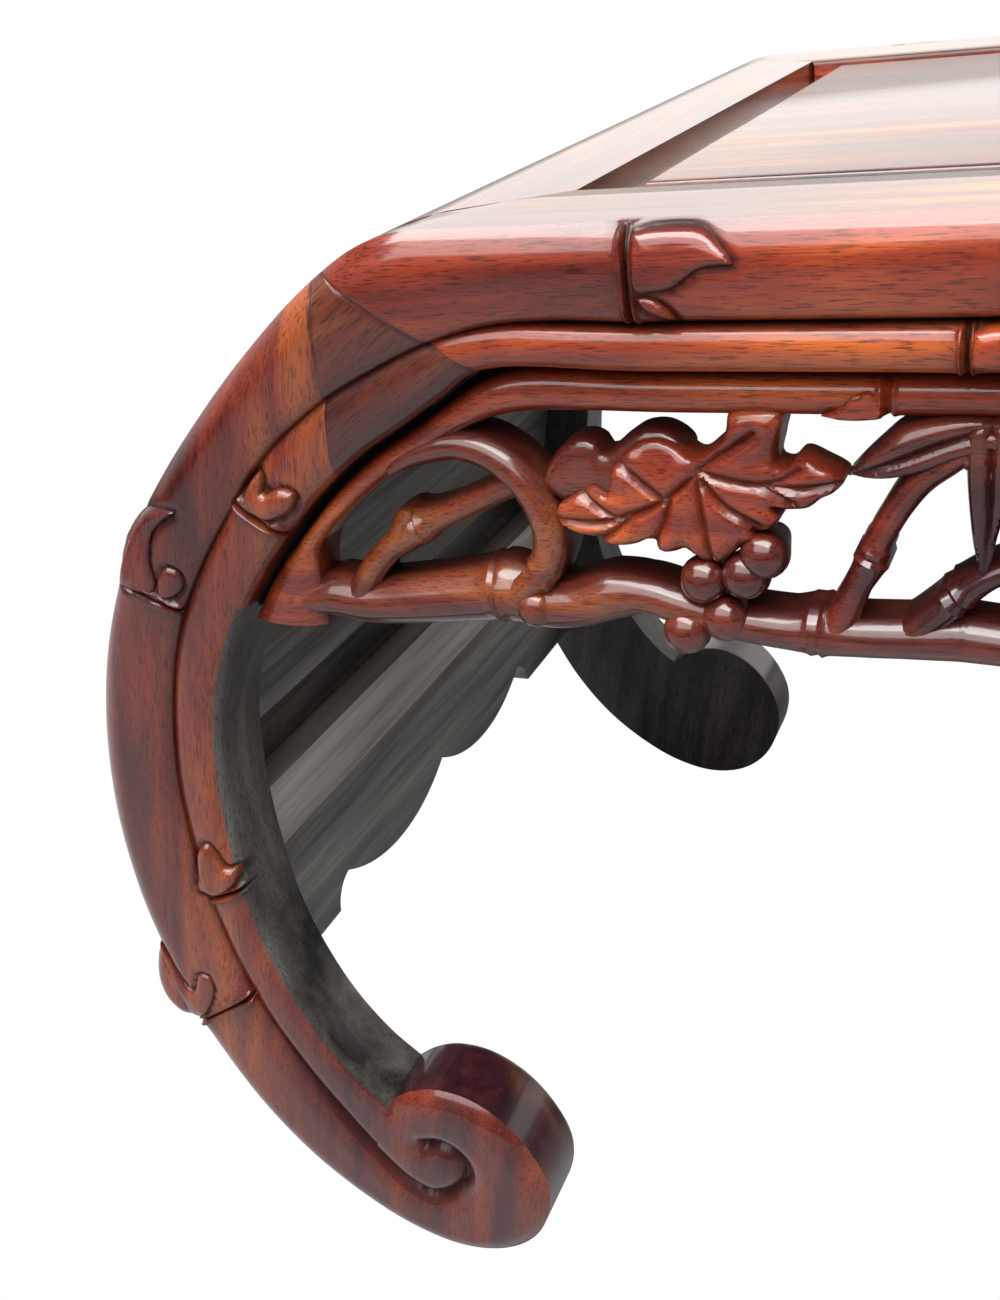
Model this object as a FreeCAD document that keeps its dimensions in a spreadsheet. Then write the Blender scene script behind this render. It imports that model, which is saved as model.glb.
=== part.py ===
"""Low hardwood table with rounded ends, legs that curl in to scrolled feet, and a pierced frieze.

The two long faces are flat frames: a rail and two curved legs, mitred together and carved as two
parallel beads. Between them lie the end rails, the panelled top, the curved end boards and a
stretcher with a scalloped apron at each end. Millimetres, Z up, origin at the middle of the
footprint, front face towards -Y.
"""
import FreeCAD
import Part
import math
import os

V = FreeCAD.Vector
doc = FreeCAD.newDocument("low_table")
sheet = doc.addObject("Spreadsheet::Sheet", "sizes")

SIZES = {
    # the whole table
    "table_long": 960.0,
    "table_deep": 404.0,
    "table_high": 400.0,
    # the long face frames: rail and legs
    "face_thick": 32.0,
    "rail_high": 38.0,
    "upper_bead": 25.0,
    "upper_bead_round": 8.0,
    "lower_bead_round": 4.5,
    "foot_radius_share": 0.1075,
    "foot_flat_share": 0.06,
    "eye_radius": 15.0,
    "eye_groove_wide": 4.0,
    "eye_groove_deep": 2.5,
    "second_bead_drop": 1.5,
    "bud_proud": 2.0,
    "bud_deep": 12.0,
    "ring_drop": 0.8,
    "ring_wide": 3.5,
    "joint_tenon_long": 22.0,
    "joint_tenon_radius": 4.5,
    # the flat top
    "top_thick": 22.0,
    "rail_wide": 54.0,
    "end_rail_reach_share": 0.475,
    "end_rail_rebate": 8.0,
    "panel_thick": 16.0,
    "panel_drop": 1.0,
    "panel_margin": 22.0,
    "margin_sunk": 8.0,
    "panel_tongue": 7.0,
    "tongue_thick": 6.0,
    "fit_gap": 0.3,
    # bearers under the panel
    "bearer_wide": 36.0,
    "bearer_thick": 14.0,
    "bearer_housed": 10.0,
    "bearer_spacing_share": 0.72,
    # the pierced frieze
    "frieze_thick": 16.0,
    "frieze_inset": 12.0,
    "stem_wide": 8.0,
    "berry_radius": 6.6,
    "berry_top_radius": 3.4,
    "berry_proud": 4.0,
    "leaf_proud": 2.0,
    # the table ends
    "end_board_thick": 11.0,
    "end_board_inset": 3.0,
    "end_board_low_share": 0.4,
    "lining_thick": 9.0,
    "lining_low_share": 0.5125,
    "stretcher_high": 28.0,
    "stretcher_thick": 14.0,
    "stretcher_low_share": 0.365,
    "stretcher_inset": 14.0,
    "stretcher_housed": 10.0,
    "apron_thick": 12.0,
    "apron_high": 58.0,
    "apron_cusp_rise": 14.0,
    "apron_bracket_wide": 60.0,
}
for row, (name, value) in enumerate(SIZES.items(), start=1):
    sheet.set("A%d" % row, name)
    sheet.set("B%d" % row, "%g" % value)
    sheet.setAlias("B%d" % row, name)
doc.recompute()


def size(name):
    return float(sheet.get(name))


LONG, DEEP, HIGH = size("table_long"), size("table_deep"), size("table_high")
THICK, RAIL, GAP = size("face_thick"), size("rail_high"), size("fit_gap")
PROUD, DROP = size("bud_proud"), size("second_bead_drop")
REACH = size("end_rail_reach_share") * HIGH
FRONT, BACK = -DEEP / 2, DEEP / 2
LEFT = -LONG / 2

# The curve of a face frame, from the flat top round to the foot: distance in from the table's end
# and height, both as shares of the table's height.
OUTER_SHARES = [(0.385, 1.0), (0.327, 0.970), (0.230, 0.902), (0.130, 0.802), (0.047, 0.655),
                (0.0043, 0.500), (0.0043, 0.345), (0.040, 0.205), (0.125, 0.087), (0.215, 0.022)]
# The line between the two beads, and the inner edge of the leg, in the same shares.
BEAD_SHARES = [(0.310, 0.885), (0.238, 0.828), (0.175, 0.755), (0.115, 0.648), (0.085, 0.528),
               (0.090, 0.390), (0.120, 0.262), (0.172, 0.165), (0.222, 0.110)]
INNER_SHARES = [(0.373, 0.868), (0.285, 0.808), (0.192, 0.703), (0.142, 0.592), (0.130, 0.475),
                (0.150, 0.312), (0.194, 0.232), (0.235, 0.187)]
# The mitre of rail and leg on the front, the mitre of the front and end rails on the top, and the
# joint below it where a separate block is spliced to the leg.
MITRE_SHARES = [(0.327, 0.970), (0.435, 0.905)]
TOP_MITRE_SHARE = 0.33
SPLICE_SHARE = 0.315
SPLICE_LOW_SHARE = 0.70
END_RAIL_LOW_SHARE = 0.902

def place(shares, y=FRONT):
    """A point of the face curve, as a place in the table."""
    return V(LEFT + shares[0] * HIGH, y, shares[1] * HIGH)


def spline(points, start=None, end=None):
    """A smooth edge through points, with set directions at its ends."""
    curve = Part.BSplineCurve()
    if start is None:
        curve.interpolate(points)
    else:
        curve.interpolate(points, InitialTangent=start, FinalTangent=end)
    return curve.toShape()


def slab(edges, thick):
    """A flat piece: the face inside some edges, carried back along Y."""
    return Part.Face(Part.Wire(Part.sortEdges(edges)[0])).extrude(V(0, thick, 0))


def line(a, b):
    return Part.makeLine(a, b)


def both_ends(shape):
    return shape.mirror(V(0, 0, 0), V(1, 0, 0))


def other_face(shape):
    return shape.mirror(V(0, 0, 0), V(0, 1, 0))


def keep(name, shape):
    """Makes one sub-part of the document from a shape."""
    if shape.ShapeType != "Solid" and len(shape.Solids) == 1:
        shape = shape.Solids[0]
    piece = doc.addObject("Part::Feature", name)
    piece.Label = name
    piece.Shape = shape
    return piece


def front_edges(solid, y):
    """The edges of a slab that lie in its front face."""
    return [e for e in solid.Edges if all(abs(v.Point.y - y) < GAP for v in e.Vertexes)
            and abs(e.BoundBox.YMax - e.BoundBox.YMin) < GAP]


# The foot is a round scroll that stands on a small flat.
foot_radius = size("foot_radius_share") * HIGH
foot_out = place(OUTER_SHARES[-1])
notch = place(INNER_SHARES[-1])
foot_centre = V(foot_out.x + foot_radius * math.sin(math.radians(38)), FRONT, foot_radius)
flat_half = size("foot_flat_share") * HIGH / 2


def on_foot(degrees):
    a = math.radians(degrees)
    return foot_centre + V(foot_radius * math.cos(a), 0, foot_radius * math.sin(a))


notch_angle = 123.0
notch = on_foot(notch_angle)


def bead_bands():
    """The two beads of the left half of a face frame, as flat bands with rounded front edges."""
    straight_top = place(OUTER_SHARES[0])
    bead_line = HIGH - size("upper_bead")
    under = HIGH - RAIL
    middle = V(0, FRONT, 0)
    outer = [place(s) for s in OUTER_SHARES]
    bead = [V(LEFT + OUTER_SHARES[0][0] * HIGH, FRONT, bead_line)] + [place(s) for s in BEAD_SHARES]
    inner_top = V(LEFT + INNER_SHARES[0][0] * HIGH + RAIL, FRONT, under)
    inner = [inner_top] + [place(s) for s in INNER_SHARES[1:-1]] + [notch]
    flat = [V(foot_centre.x - flat_half, FRONT, 0), V(foot_centre.x + flat_half, FRONT, 0)]
    lift = math.degrees(math.asin(flat_half / foot_radius))
    upper = slab([
        line(middle + V(0, 0, HIGH), straight_top),
        spline(outer, V(-1, 0, 0), V(1, 0, -0.5)),
        line(outer[-1], flat[0]),
        line(flat[0], flat[1]),
        line(flat[1], on_foot(lift - 90)),
        Part.Arc(on_foot(lift - 90), on_foot(30), notch).toShape(),
        line(notch, bead[-1]),
        spline(bead, V(-1, 0, 0), V(1, 0, -1)),
        line(bead[0], middle + V(0, 0, bead_line)),
        line(middle + V(0, 0, bead_line), middle + V(0, 0, HIGH)),
    ], THICK - PROUD)
    lower = slab([
        line(middle + V(0, 0, bead_line), bead[0]),
        spline(bead, V(-1, 0, 0), V(1, 0, -1)),
        line(bead[-1], notch),
        spline(inner, V(-1, 0, 0), V(1, 0, -1)),
        line(inner_top, middle + V(0, 0, under)),
        line(middle + V(0, 0, under), middle + V(0, 0, bead_line)),
    ], THICK - PROUD - DROP)
    return upper, lower


def box(x0, x1, y0, y1, z0, z1):
    return Part.makeBox(x1 - x0, y1 - y0, z1 - z0, V(x0, y0, z0))


def prism(points, along):
    """A straight-sided piece: a polygon carried along a direction."""
    return Part.Face(Part.makePolygon(points + points[:1])).extrude(along)


def rounded(band, radius):
    """A band with its long front edges rounded over, as near to the full radius as will go."""
    long_edges = [e for e in front_edges(band, FRONT) if e.Length > THICK * 2]
    for share in (1.0, 0.75, 0.5, 0.25):
        try:
            bead = band.makeFillet(radius * share, long_edges)
            if bead.isValid() and 0 < bead.Volume < band.Volume:
                return bead
        except Exception:
            continue
    return band


# Buds of the bamboo, and the joints they spring from, in shares of the height.
LEG_BUDS_SHARES = [
    [(0.085, 0.725), (0.0875, 0.75), (0.1025, 0.7725), (0.12, 0.79), (0.1425, 0.8),
     (0.165, 0.7975), (0.1425, 0.7825), (0.1275, 0.7575), (0.125, 0.7275), (0.105, 0.72)],
    [(0.225, 0.8025), (0.2325, 0.82), (0.2475, 0.8325), (0.2525, 0.8175), (0.2725, 0.8175),
     (0.2675, 0.8), (0.245, 0.79)],
    [(0.0825, 0.44), (0.09, 0.465), (0.105, 0.4725), (0.12, 0.4525), (0.1275, 0.4425),
     (0.1225, 0.4275), (0.1, 0.4125), (0.0825, 0.42)],
    [(0.0075, 0.34), (0.0225, 0.31), (0.0425, 0.2925), (0.06, 0.3125), (0.0675, 0.2975),
     (0.0575, 0.2725), (0.035, 0.2525), (0.0075, 0.2475), (-0.01, 0.2675), (-0.01, 0.295),
     (-0.0025, 0.32)],
]
RAIL_BUDS_SHARES = [
    [(0.5525, 0.99), (0.5725, 0.9975), (0.6, 0.9975), (0.62, 0.9875), (0.605, 0.975),
     (0.585, 0.965), (0.5525, 0.9625)],
    [(0.755, 0.93), (0.775, 0.935), (0.7975, 0.9225), (0.775, 0.91), (0.755, 0.9125)],
    [(0.9275, 0.99), (0.9, 0.9975), (0.8725, 0.9925), (0.8575, 0.9825), (0.88, 0.9725),
     (0.9025, 0.965), (0.9275, 0.9625)],
]
LEG_RINGS_SHARES = [[(0.08, 0.7425), (0.145, 0.71)], [(0.2175, 0.8075), (0.2525, 0.7825)],
                    [(0.0775, 0.4025), (0.1275, 0.425)], [(0.015, 0.24), (0.1, 0.29)]]
RAIL_RINGS_SHARES = [[(0.5475, 0.9975), (0.5475, 0.94)], [(0.7525, 0.935), (0.7525, 0.9075)],
                     [(0.9325, 0.9975), (0.9325, 0.94)]]


def bud(shares):
    """A bud, as a slab with a smooth outline that stands proud of the bead."""
    curve = Part.BSplineCurve()
    curve.interpolate([place(s) for s in shares], PeriodicFlag=True)
    return Part.Face(Part.Wire(curve.toShape())).extrude(V(0, size("bud_deep"), 0))


def ring(shares):
    """A bamboo joint: a narrow bar across a bead."""
    a, b = [place(s) + V(0, size("ring_drop"), 0) for s in shares]
    along = (b - a).normalize()
    off = V(-along.z, 0, along.x) * (size("ring_wide") / 2)
    return prism([a - off, b - off, b + off, a + off], V(0, size("bud_deep"), 0))


# One half of a face frame, both beads and the groove round the eye of the foot.
upper, lower = bead_bands()
lower = rounded(lower, size("lower_bead_round"))
lower.translate(V(0, DROP, 0))
half_frame = rounded(upper, size("upper_bead_round")).fuse(lower).removeSplitter()
eye, eye_wide = size("eye_radius"), size("eye_groove_wide")
eye_groove = Part.makeCylinder(eye + eye_wide, size("eye_groove_deep"), foot_centre, V(0, 1, 0)).cut(
    Part.makeCylinder(eye, size("eye_groove_deep"), foot_centre, V(0, 1, 0)))
half_frame = half_frame.cut(eye_groove)
half_frame.translate(V(0, PROUD, 0))

# Everything right of the front mitre and of the top mitre belongs to the rail.
rail_wide, reach = size("rail_wide"), LEFT + REACH
mitre_high, mitre_low = [place(s) for s in MITRE_SHARES]
slope = mitre_low - mitre_high
rail_side = prism([mitre_high - slope * 2, mitre_low + slope * 2, V(0, FRONT, place((0, 0)).z),
                   V(0, FRONT, HIGH * 2)], V(0, rail_wide, 0))
top_mitre = LEFT + TOP_MITRE_SHARE * HIGH
rail_side = rail_side.common(prism([V(top_mitre, FRONT, 0), V(0, FRONT, 0),
                                    V(0, FRONT + rail_wide, 0), V(reach, FRONT + rail_wide, 0)],
                                   V(0, 0, HIGH * 2)))
rail_flat = prism([V(top_mitre, FRONT, 0), V(0, FRONT, 0), V(0, FRONT + rail_wide, 0),
                   V(reach, FRONT + rail_wide, 0)], V(0, 0, size("top_thick")))
rail_flat.translate(V(0, 0, HIGH - size("top_thick")))
rail_flat = rail_flat.common(box(LEFT, 0, FRONT + THICK, FRONT + rail_wide, 0, HIGH))
half_rail = half_frame.common(rail_side).fuse(rail_flat).removeSplitter()
leg_and_block = half_frame.cut(rail_side)

# The rolled end rail runs over the tops of the legs, in a rebate behind their front beads.
outer_edge = spline([place(s) for s in OUTER_SHARES], V(-1, 0, 0), V(1, 0, -0.5))


def height_on_curve(high):
    """How far along the outer curve a height is reached."""
    low, far = outer_edge.FirstParameter, outer_edge.LastParameter
    for _ in range(40):
        half = (low + far) / 2
        if outer_edge.valueAt(half).z > high:
            low = half
        else:
            far = half
    return low


def curve_inside(inset, high, low, count=9):
    """Points on a line that follows the outer curve at a distance, from one height to another."""
    start = outer_edge.FirstParameter if high >= HIGH else height_on_curve(high)
    end = height_on_curve(low)
    points = []
    for k in range(count):
        at = start + (end - start) * k / (count - 1)
        along = outer_edge.tangentAt(at)
        points.append(outer_edge.valueAt(at) + V(-along.z, 0, along.x) * inset)
    return points


def curved_board(inset, thick, high, low, y0, y1):
    """A board bent to the outer curve."""
    outside, inside = curve_inside(inset, high, low), curve_inside(inset + thick, high, low)
    board = slab([spline(outside), line(outside[-1], inside[-1]), spline(inside),
                  line(inside[0], outside[0])], y1 - y0)
    board.translate(V(0, y0 - FRONT, 0))
    return board


top_thick, rebate = size("top_thick"), size("end_rail_rebate")
rail_end_high = END_RAIL_LOW_SHARE * HIGH
roll = curve_inside(0, HIGH, rail_end_high)
roll_under = curve_inside(top_thick, HIGH, rail_end_high)
roll_top = V(reach, FRONT, HIGH)
roll_inner = V(reach, FRONT, HIGH - top_thick)
end_rail = slab([spline(roll, V(-1, 0, 0), outer_edge.tangentAt(height_on_curve(rail_end_high))),
                 line(roll[-1], roll_under[-1]),
                 spline(roll_under, V(-1, 0, 0),
                        outer_edge.tangentAt(height_on_curve(rail_end_high))),
                 line(roll_under[0], roll_inner), line(roll_inner, roll_top),
                 line(roll_top, roll[0])], DEEP - rebate * 2)
end_rail.translate(V(0, rebate, 0))
corner_tool = prism([V(top_mitre, FRONT, 0), V(0, FRONT, 0), V(0, FRONT + rail_wide, 0),
                     V(reach, FRONT + rail_wide, 0)], V(0, 0, HIGH * 2))
end_rail = end_rail.cut(corner_tool).cut(other_face(corner_tool))
out_of_roll = roll[-1] + (roll[-1] - roll_under[-1]) * 3
rebate_tool = slab([line(roll_under[-1], out_of_roll),
                    line(out_of_roll, V(out_of_roll.x, FRONT, HIGH * 2)),
                    line(V(out_of_roll.x, FRONT, HIGH * 2), V(reach, FRONT, HIGH * 2)),
                    line(V(reach, FRONT, HIGH * 2), roll_inner), line(roll_inner, roll_under[0]),
                    spline(roll_under, V(-1, 0, 0),
                           outer_edge.tangentAt(height_on_curve(rail_end_high)))], THICK * 2)
rebate_tool.translate(V(0, rebate, 0))
leg_and_block = leg_and_block.cut(rebate_tool)

# The leg, and the block spliced on between it and the rail.
splice = LEFT + SPLICE_SHARE * HIGH
block_side = box(splice, 0, FRONT, FRONT + THICK, SPLICE_LOW_SHARE * HIGH, HIGH)
leg_block = leg_and_block.common(block_side)
leg = leg_and_block.cut(block_side)
tenon_long, tenon_radius = size("joint_tenon_long"), size("joint_tenon_radius")
splice_tenon = Part.makeCylinder(tenon_radius, tenon_long / 2,
                                 V(splice, FRONT + THICK / 2, place((0, 0.878)).z), V(1, 0, 0))
leg = leg.fuse(splice_tenon)
leg_block = leg_block.cut(splice_tenon)
block_tenon = Part.makeCylinder(tenon_radius, tenon_long,
                                V(mitre_low.x - tenon_long / 2, FRONT + THICK / 2,
                                  mitre_low.z + tenon_radius * 1.5), V(1, 0, 0))
leg_block = leg_block.fuse(block_tenon).removeSplitter()
half_rail = half_rail.cut(leg_block)
leg = leg.fuse([bud(s) for s in LEG_BUDS_SHARES] + [ring(s) for s in LEG_RINGS_SHARES])
half_rail = half_rail.fuse([bud(s) for s in RAIL_BUDS_SHARES]
                           + [ring(s) for s in RAIL_RINGS_SHARES])

# The panel: a raised field, a sunk margin and a tongue in the grooves of the four rails.
half_field_x, half_field_y = -reach, DEEP / 2 - rail_wide
field_top = HIGH - size("panel_drop")
panel_low = field_top - size("panel_thick")
margin_top = HIGH - size("margin_sunk")
tongue, tongue_thick = size("panel_tongue"), size("tongue_thick")


def primitive(name, length, width, height, x, y, z):
    """A plain box in the document, its sizes and place bound to the sheet."""
    solid = doc.addObject("Part::Box", name)
    solid.Label = name
    solid.setExpression("Length", length)
    solid.setExpression("Width", width)
    solid.setExpression("Height", height)
    solid.setExpression("Placement.Base.x", x)
    solid.setExpression("Placement.Base.y", y)
    solid.setExpression("Placement.Base.z", z)
    return solid


INNER_LONG = "(sizes.table_long - sizes.table_high * sizes.end_rail_reach_share * 2)"
INNER_DEEP = "(sizes.table_deep - sizes.rail_wide * 2)"
PANEL_LOW = "(sizes.table_high - sizes.panel_drop - sizes.panel_thick)"
field = primitive("panel_field", INNER_LONG + " - sizes.panel_margin * 2",
                  INNER_DEEP + " - sizes.panel_margin * 2", "sizes.panel_thick",
                  "-" + INNER_LONG + " / 2 + sizes.panel_margin",
                  "-" + INNER_DEEP + " / 2 + sizes.panel_margin", PANEL_LOW)
margin = primitive("panel_margin_board", INNER_LONG, INNER_DEEP,
                   "sizes.panel_thick + sizes.panel_drop - sizes.margin_sunk",
                   "-" + INNER_LONG + " / 2", "-" + INNER_DEEP + " / 2", PANEL_LOW)
edge = primitive("panel_tongue_board", INNER_LONG + " + sizes.panel_tongue * 2",
                 INNER_DEEP + " + sizes.panel_tongue * 2", "sizes.tongue_thick",
                 "-" + INNER_LONG + " / 2 - sizes.panel_tongue",
                 "-" + INNER_DEEP + " / 2 - sizes.panel_tongue", PANEL_LOW)
top_panel = doc.addObject("Part::MultiFuse", "top_panel")
top_panel.Shapes = [field, margin, edge]
top_panel.Refine = True
doc.recompute()
groove = box(-half_field_x - tongue - GAP, half_field_x + tongue + GAP,
             -half_field_y - tongue - GAP, half_field_y + tongue + GAP,
             panel_low - GAP, panel_low + tongue_thick + GAP)
end_rail = end_rail.cut(groove)

# Three bearers housed in the underside of the long rails.
SPACING = INNER_LONG + " / 2 * sizes.bearer_spacing_share"
BEARERS = {"left_bearer": "-" + SPACING, "middle_bearer": "0 * sizes.bearer_wide",
           "right_bearer": SPACING}
bearers = []
for name, middle in BEARERS.items():
    bearers.append(primitive(name, "sizes.bearer_wide",
                             INNER_DEEP + " + sizes.bearer_housed * 2", "sizes.bearer_thick",
                             middle + " - sizes.bearer_wide / 2",
                             "-" + INNER_DEEP + " / 2 - sizes.bearer_housed",
                             PANEL_LOW + " - sizes.bearer_thick"))
doc.recompute()
half_rail = half_rail.cut(groove)
rail = half_rail.fuse(both_ends(half_rail)).removeSplitter()
for bearer in bearers:
    rail = rail.cut(bearer.Shape)
keep("front_rail", rail)
keep("back_rail", other_face(rail))

# The end of the table: curved board, its lining, a stretcher and the scalloped apron under it.
inner_y0, inner_y1 = FRONT + THICK, BACK - THICK
board_inset, board_thick = size("end_board_inset"), size("end_board_thick")
board_high = rail_end_high
end_board = curved_board(board_inset, board_thick, board_high, size("end_board_low_share") * HIGH,
                         inner_y0, inner_y1)
end_lining = curved_board(board_inset + board_thick, size("lining_thick"),
                          board_high - top_thick / 2, size("lining_low_share") * HIGH,
                          inner_y0 + GAP, inner_y1 - GAP)
STRETCHER_DEEP = "sizes.table_deep - sizes.face_thick * 2"
LEFT_X = "-sizes.table_long / 2 + sizes.stretcher_inset"
RIGHT_X = "sizes.table_long / 2 - sizes.stretcher_inset - sizes.stretcher_thick"
stretchers = {}
for name, x in (("left_end_stretcher", LEFT_X), ("right_end_stretcher", RIGHT_X)):
    stretchers[name] = primitive(name, "sizes.stretcher_thick",
                                 STRETCHER_DEEP + " + sizes.stretcher_housed * 2",
                                 "sizes.stretcher_high", x,
                                 "-(" + STRETCHER_DEEP + ") / 2 - sizes.stretcher_housed",
                                 "sizes.table_high * sizes.stretcher_low_share")
doc.recompute()
end_board = end_board.cut(stretchers["left_end_stretcher"].Shape)
end_lining = end_lining.cut(stretchers["left_end_stretcher"].Shape)
leg = leg.cut(stretchers["left_end_stretcher"].Shape)

# The apron's lower edge: a flat bracket at each leg, then lobes that meet in upward cusps.
apron_x = LEFT + size("stretcher_inset")
apron_top = size("stretcher_low_share") * HIGH
apron_low = apron_top - size("apron_high")
cusp = apron_low + size("apron_cusp_rise")
bracket = size("apron_bracket_wide")
cusp_y = inner_y1 - bracket - (bracket / 5)
apron_points = [V(apron_x, inner_y0, apron_top), V(apron_x, inner_y0, apron_low)]
tip = V(apron_x, inner_y0 + bracket, apron_low)
cusps = [V(apron_x, -cusp_y, cusp), V(apron_x, 0, cusp), V(apron_x, cusp_y, cusp)]
tips = [tip, V(apron_x, -tip.y, apron_low)]
rise = V(0, (cusps[0].y - tip.y) / 3, (cusp - apron_low) * 2 / 3)
far_rise = V(0, -rise.y, rise.z)


def lobe(a, b):
    return Part.Arc(a, V(apron_x, (a.y + b.y) / 2, apron_low), b).toShape()


apron_edges = [
    line(apron_points[0], apron_points[1]),
    line(apron_points[1], tips[0]),
    Part.Arc(tips[0], tips[0] + rise, cusps[0]).toShape(),
    lobe(cusps[0], cusps[1]),
    lobe(cusps[1], cusps[2]),
    Part.Arc(cusps[2], tips[1] + far_rise, tips[1]).toShape(),
    line(tips[1], V(apron_x, inner_y1, apron_low)),
    line(V(apron_x, inner_y1, apron_low), V(apron_x, inner_y1, apron_top)),
    line(V(apron_x, inner_y1, apron_top), apron_points[0]),
]
end_apron = Part.Face(Part.Wire(apron_edges)).extrude(V(size("apron_thick"), 0, 0))

for name, shape in (("end_rail", end_rail), ("end_board", end_board), ("end_lining", end_lining),
                    ("end_apron", end_apron)):
    keep("left_" + name, shape)
    keep("right_" + name, both_ends(shape))

for name, shape in (("leg", leg), ("leg_block", leg_block)):
    keep("front_left_" + name, shape)
    keep("front_right_" + name, both_ends(shape))
    keep("back_left_" + name, other_face(shape))
    keep("back_right_" + name, other_face(both_ends(shape)))

# The pierced frieze, in shares of the table's height: a moulding under rail and leg, a branch along
# the bottom, and between them a curl, twigs, a lobed leaf, berries and long bamboo leaves.
BRANCH_LOW_SHARES = [(0.18, 0.6925), (0.2625, 0.6925), (0.34, 0.6925), (0.4075, 0.7),
                     (0.455, 0.6975), (0.4875, 0.7075), (0.5275, 0.72), (0.5575, 0.705),
                     (0.5925, 0.71), (0.6625, 0.695), (0.75, 0.7)]
BRANCH_TOP_SHARES = [(0.18, 0.7325), (0.2575, 0.735), (0.2975, 0.7275), (0.3575, 0.7425),
                     (0.4225, 0.7525), (0.4675, 0.74), (0.5075, 0.7525), (0.56, 0.745),
                     (0.6075, 0.7375), (0.6625, 0.74), (0.75, 0.735)]
MOULD_SHARES = [(0.2575, 0.695), (0.2575, 0.735), (0.27, 0.76), (0.2925, 0.785), (0.3225, 0.81),
                (0.35, 0.8275), (0.3775, 0.8425), (0.4175, 0.8625), (0.45, 0.8725)]
LEAF_SHARES = [(0.4675, 0.8375), (0.49, 0.8525), (0.51, 0.85), (0.535, 0.8625), (0.5625, 0.8625),
               (0.5775, 0.845), (0.6025, 0.865), (0.6075, 0.88), (0.6375, 0.88), (0.6325, 0.845),
               (0.6575, 0.85), (0.6775, 0.84), (0.6575, 0.815), (0.6325, 0.81), (0.6325, 0.795),
               (0.615, 0.795), (0.6, 0.7825), (0.585, 0.7675), (0.545, 0.78), (0.525, 0.7825),
               (0.4975, 0.78), (0.48, 0.7925), (0.4725, 0.8075)]
CURL_SHARES = [(0.36, 0.85), (0.3825, 0.84), (0.4175, 0.84), (0.4462, 0.8213), (0.4612, 0.785),
               (0.4512, 0.755), (0.435, 0.74)]
TWIG_SHARES = [(0.3025, 0.725), (0.3225, 0.7525), (0.355, 0.7825), (0.3825, 0.7925), (0.42, 0.81),
               (0.4375, 0.825)]
BAMBOO_TWIG_SHARES = [(0.665, 0.725), (0.685, 0.76), (0.6975, 0.7925), (0.73, 0.835),
                      (0.755, 0.865)]
FORK_SHARES = [(0.7125, 0.715), (0.7525, 0.75), (0.7875, 0.765), (0.815, 0.725)]
LONG_BLADE_SHARES = [(0.67, 0.8325), (0.71, 0.86), (0.75, 0.88), (0.78, 0.88), (0.765, 0.8575),
                     (0.725, 0.84)]
DROP_BLADE_SHARES = [(0.7475, 0.88), (0.78, 0.88), (0.7775, 0.8125), (0.76, 0.755),
                     (0.7525, 0.795)]
BERRIES_SHARES = [(0.5725, 0.755), (0.605, 0.76), (0.5925, 0.7275), (0.555, 0.7175),
                  (0.6225, 0.775)]
MOTIF_MIDDLE_SHARE = 0.75


def side_of(points, distance):
    """A line of points beside another, at a distance to its left."""
    moved = []
    for k, point in enumerate(points):
        along = points[min(k + 1, len(points) - 1)] - points[max(k - 1, 0)]
        along.normalize()
        moved.append(point + V(-along.z, 0, along.x) * distance)
    return moved


def stem(shares, wide):
    """A curved stem of even width."""
    middle = [place(s) for s in shares]
    a, b = side_of(middle, wide / 2), side_of(middle, -wide / 2)
    return Part.Face(Part.Wire([spline(a), line(a[-1], b[-1]), spline(b[::-1]),
                                line(b[0], a[0])]))


def outline(shares):
    """A leaf or blade with pointed lobes."""
    points = [place(s) for s in shares]
    return Part.Face(Part.makePolygon(points + points[:1]))


under_rail = HIGH - RAIL
inner_top = V(LEFT + INNER_SHARES[0][0] * HIGH + RAIL, FRONT, under_rail)
inner_line = [inner_top] + [place(s) for s in INNER_SHARES[1:-1]] + [notch]
mould = [place(s) for s in MOULD_SHARES]
mould_end = V(0, FRONT, mould[-1].z)
low_left = V(mould[0].x, FRONT, notch.z)
moulding = Part.Face(Part.Wire([
    spline(inner_line, V(-1, 0, 0), V(1, 0, -1)),
    line(notch, low_left),
    line(low_left, mould[0]),
    line(mould[0], mould[1]),
    spline(mould[1:]),
    line(mould[-1], mould_end),
    line(mould_end, V(0, FRONT, under_rail)),
    line(V(0, FRONT, under_rail), inner_top),
]))
mould_low = BRANCH_LOW_SHARES[0][1] * HIGH
moulding = moulding.extrude(V(0, size("frieze_thick"), 0)).common(
    box(LEFT, 0, FRONT, BACK, mould_low, HIGH))
branch_low = [place(s) for s in BRANCH_LOW_SHARES]
branch_top = [place(s) for s in BRANCH_TOP_SHARES]
branch = Part.Face(Part.Wire([spline(branch_low), line(branch_low[-1], branch_top[-1]),
                              spline(branch_top[::-1]), line(branch_top[0], branch_low[0])]))
stem_wide = size("stem_wide")
motif = [branch, stem(CURL_SHARES, stem_wide), stem(TWIG_SHARES, stem_wide * 0.8),
         stem(BAMBOO_TWIG_SHARES, stem_wide * 0.9), stem(FORK_SHARES, stem_wide * 0.9)]
bar = [V(place((MOTIF_MIDDLE_SHARE, 0)).x, FRONT, branch_low[-1].z),
       V(0, FRONT, branch_low[-1].z), V(0, FRONT, branch_top[-1].z),
       V(place((MOTIF_MIDDLE_SHARE, 0)).x, FRONT, branch_top[-1].z)]
frieze_thick = size("frieze_thick")
solids = [face.extrude(V(0, frieze_thick, 0)) for face in motif]
leaf_proud = size("leaf_proud")
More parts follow.
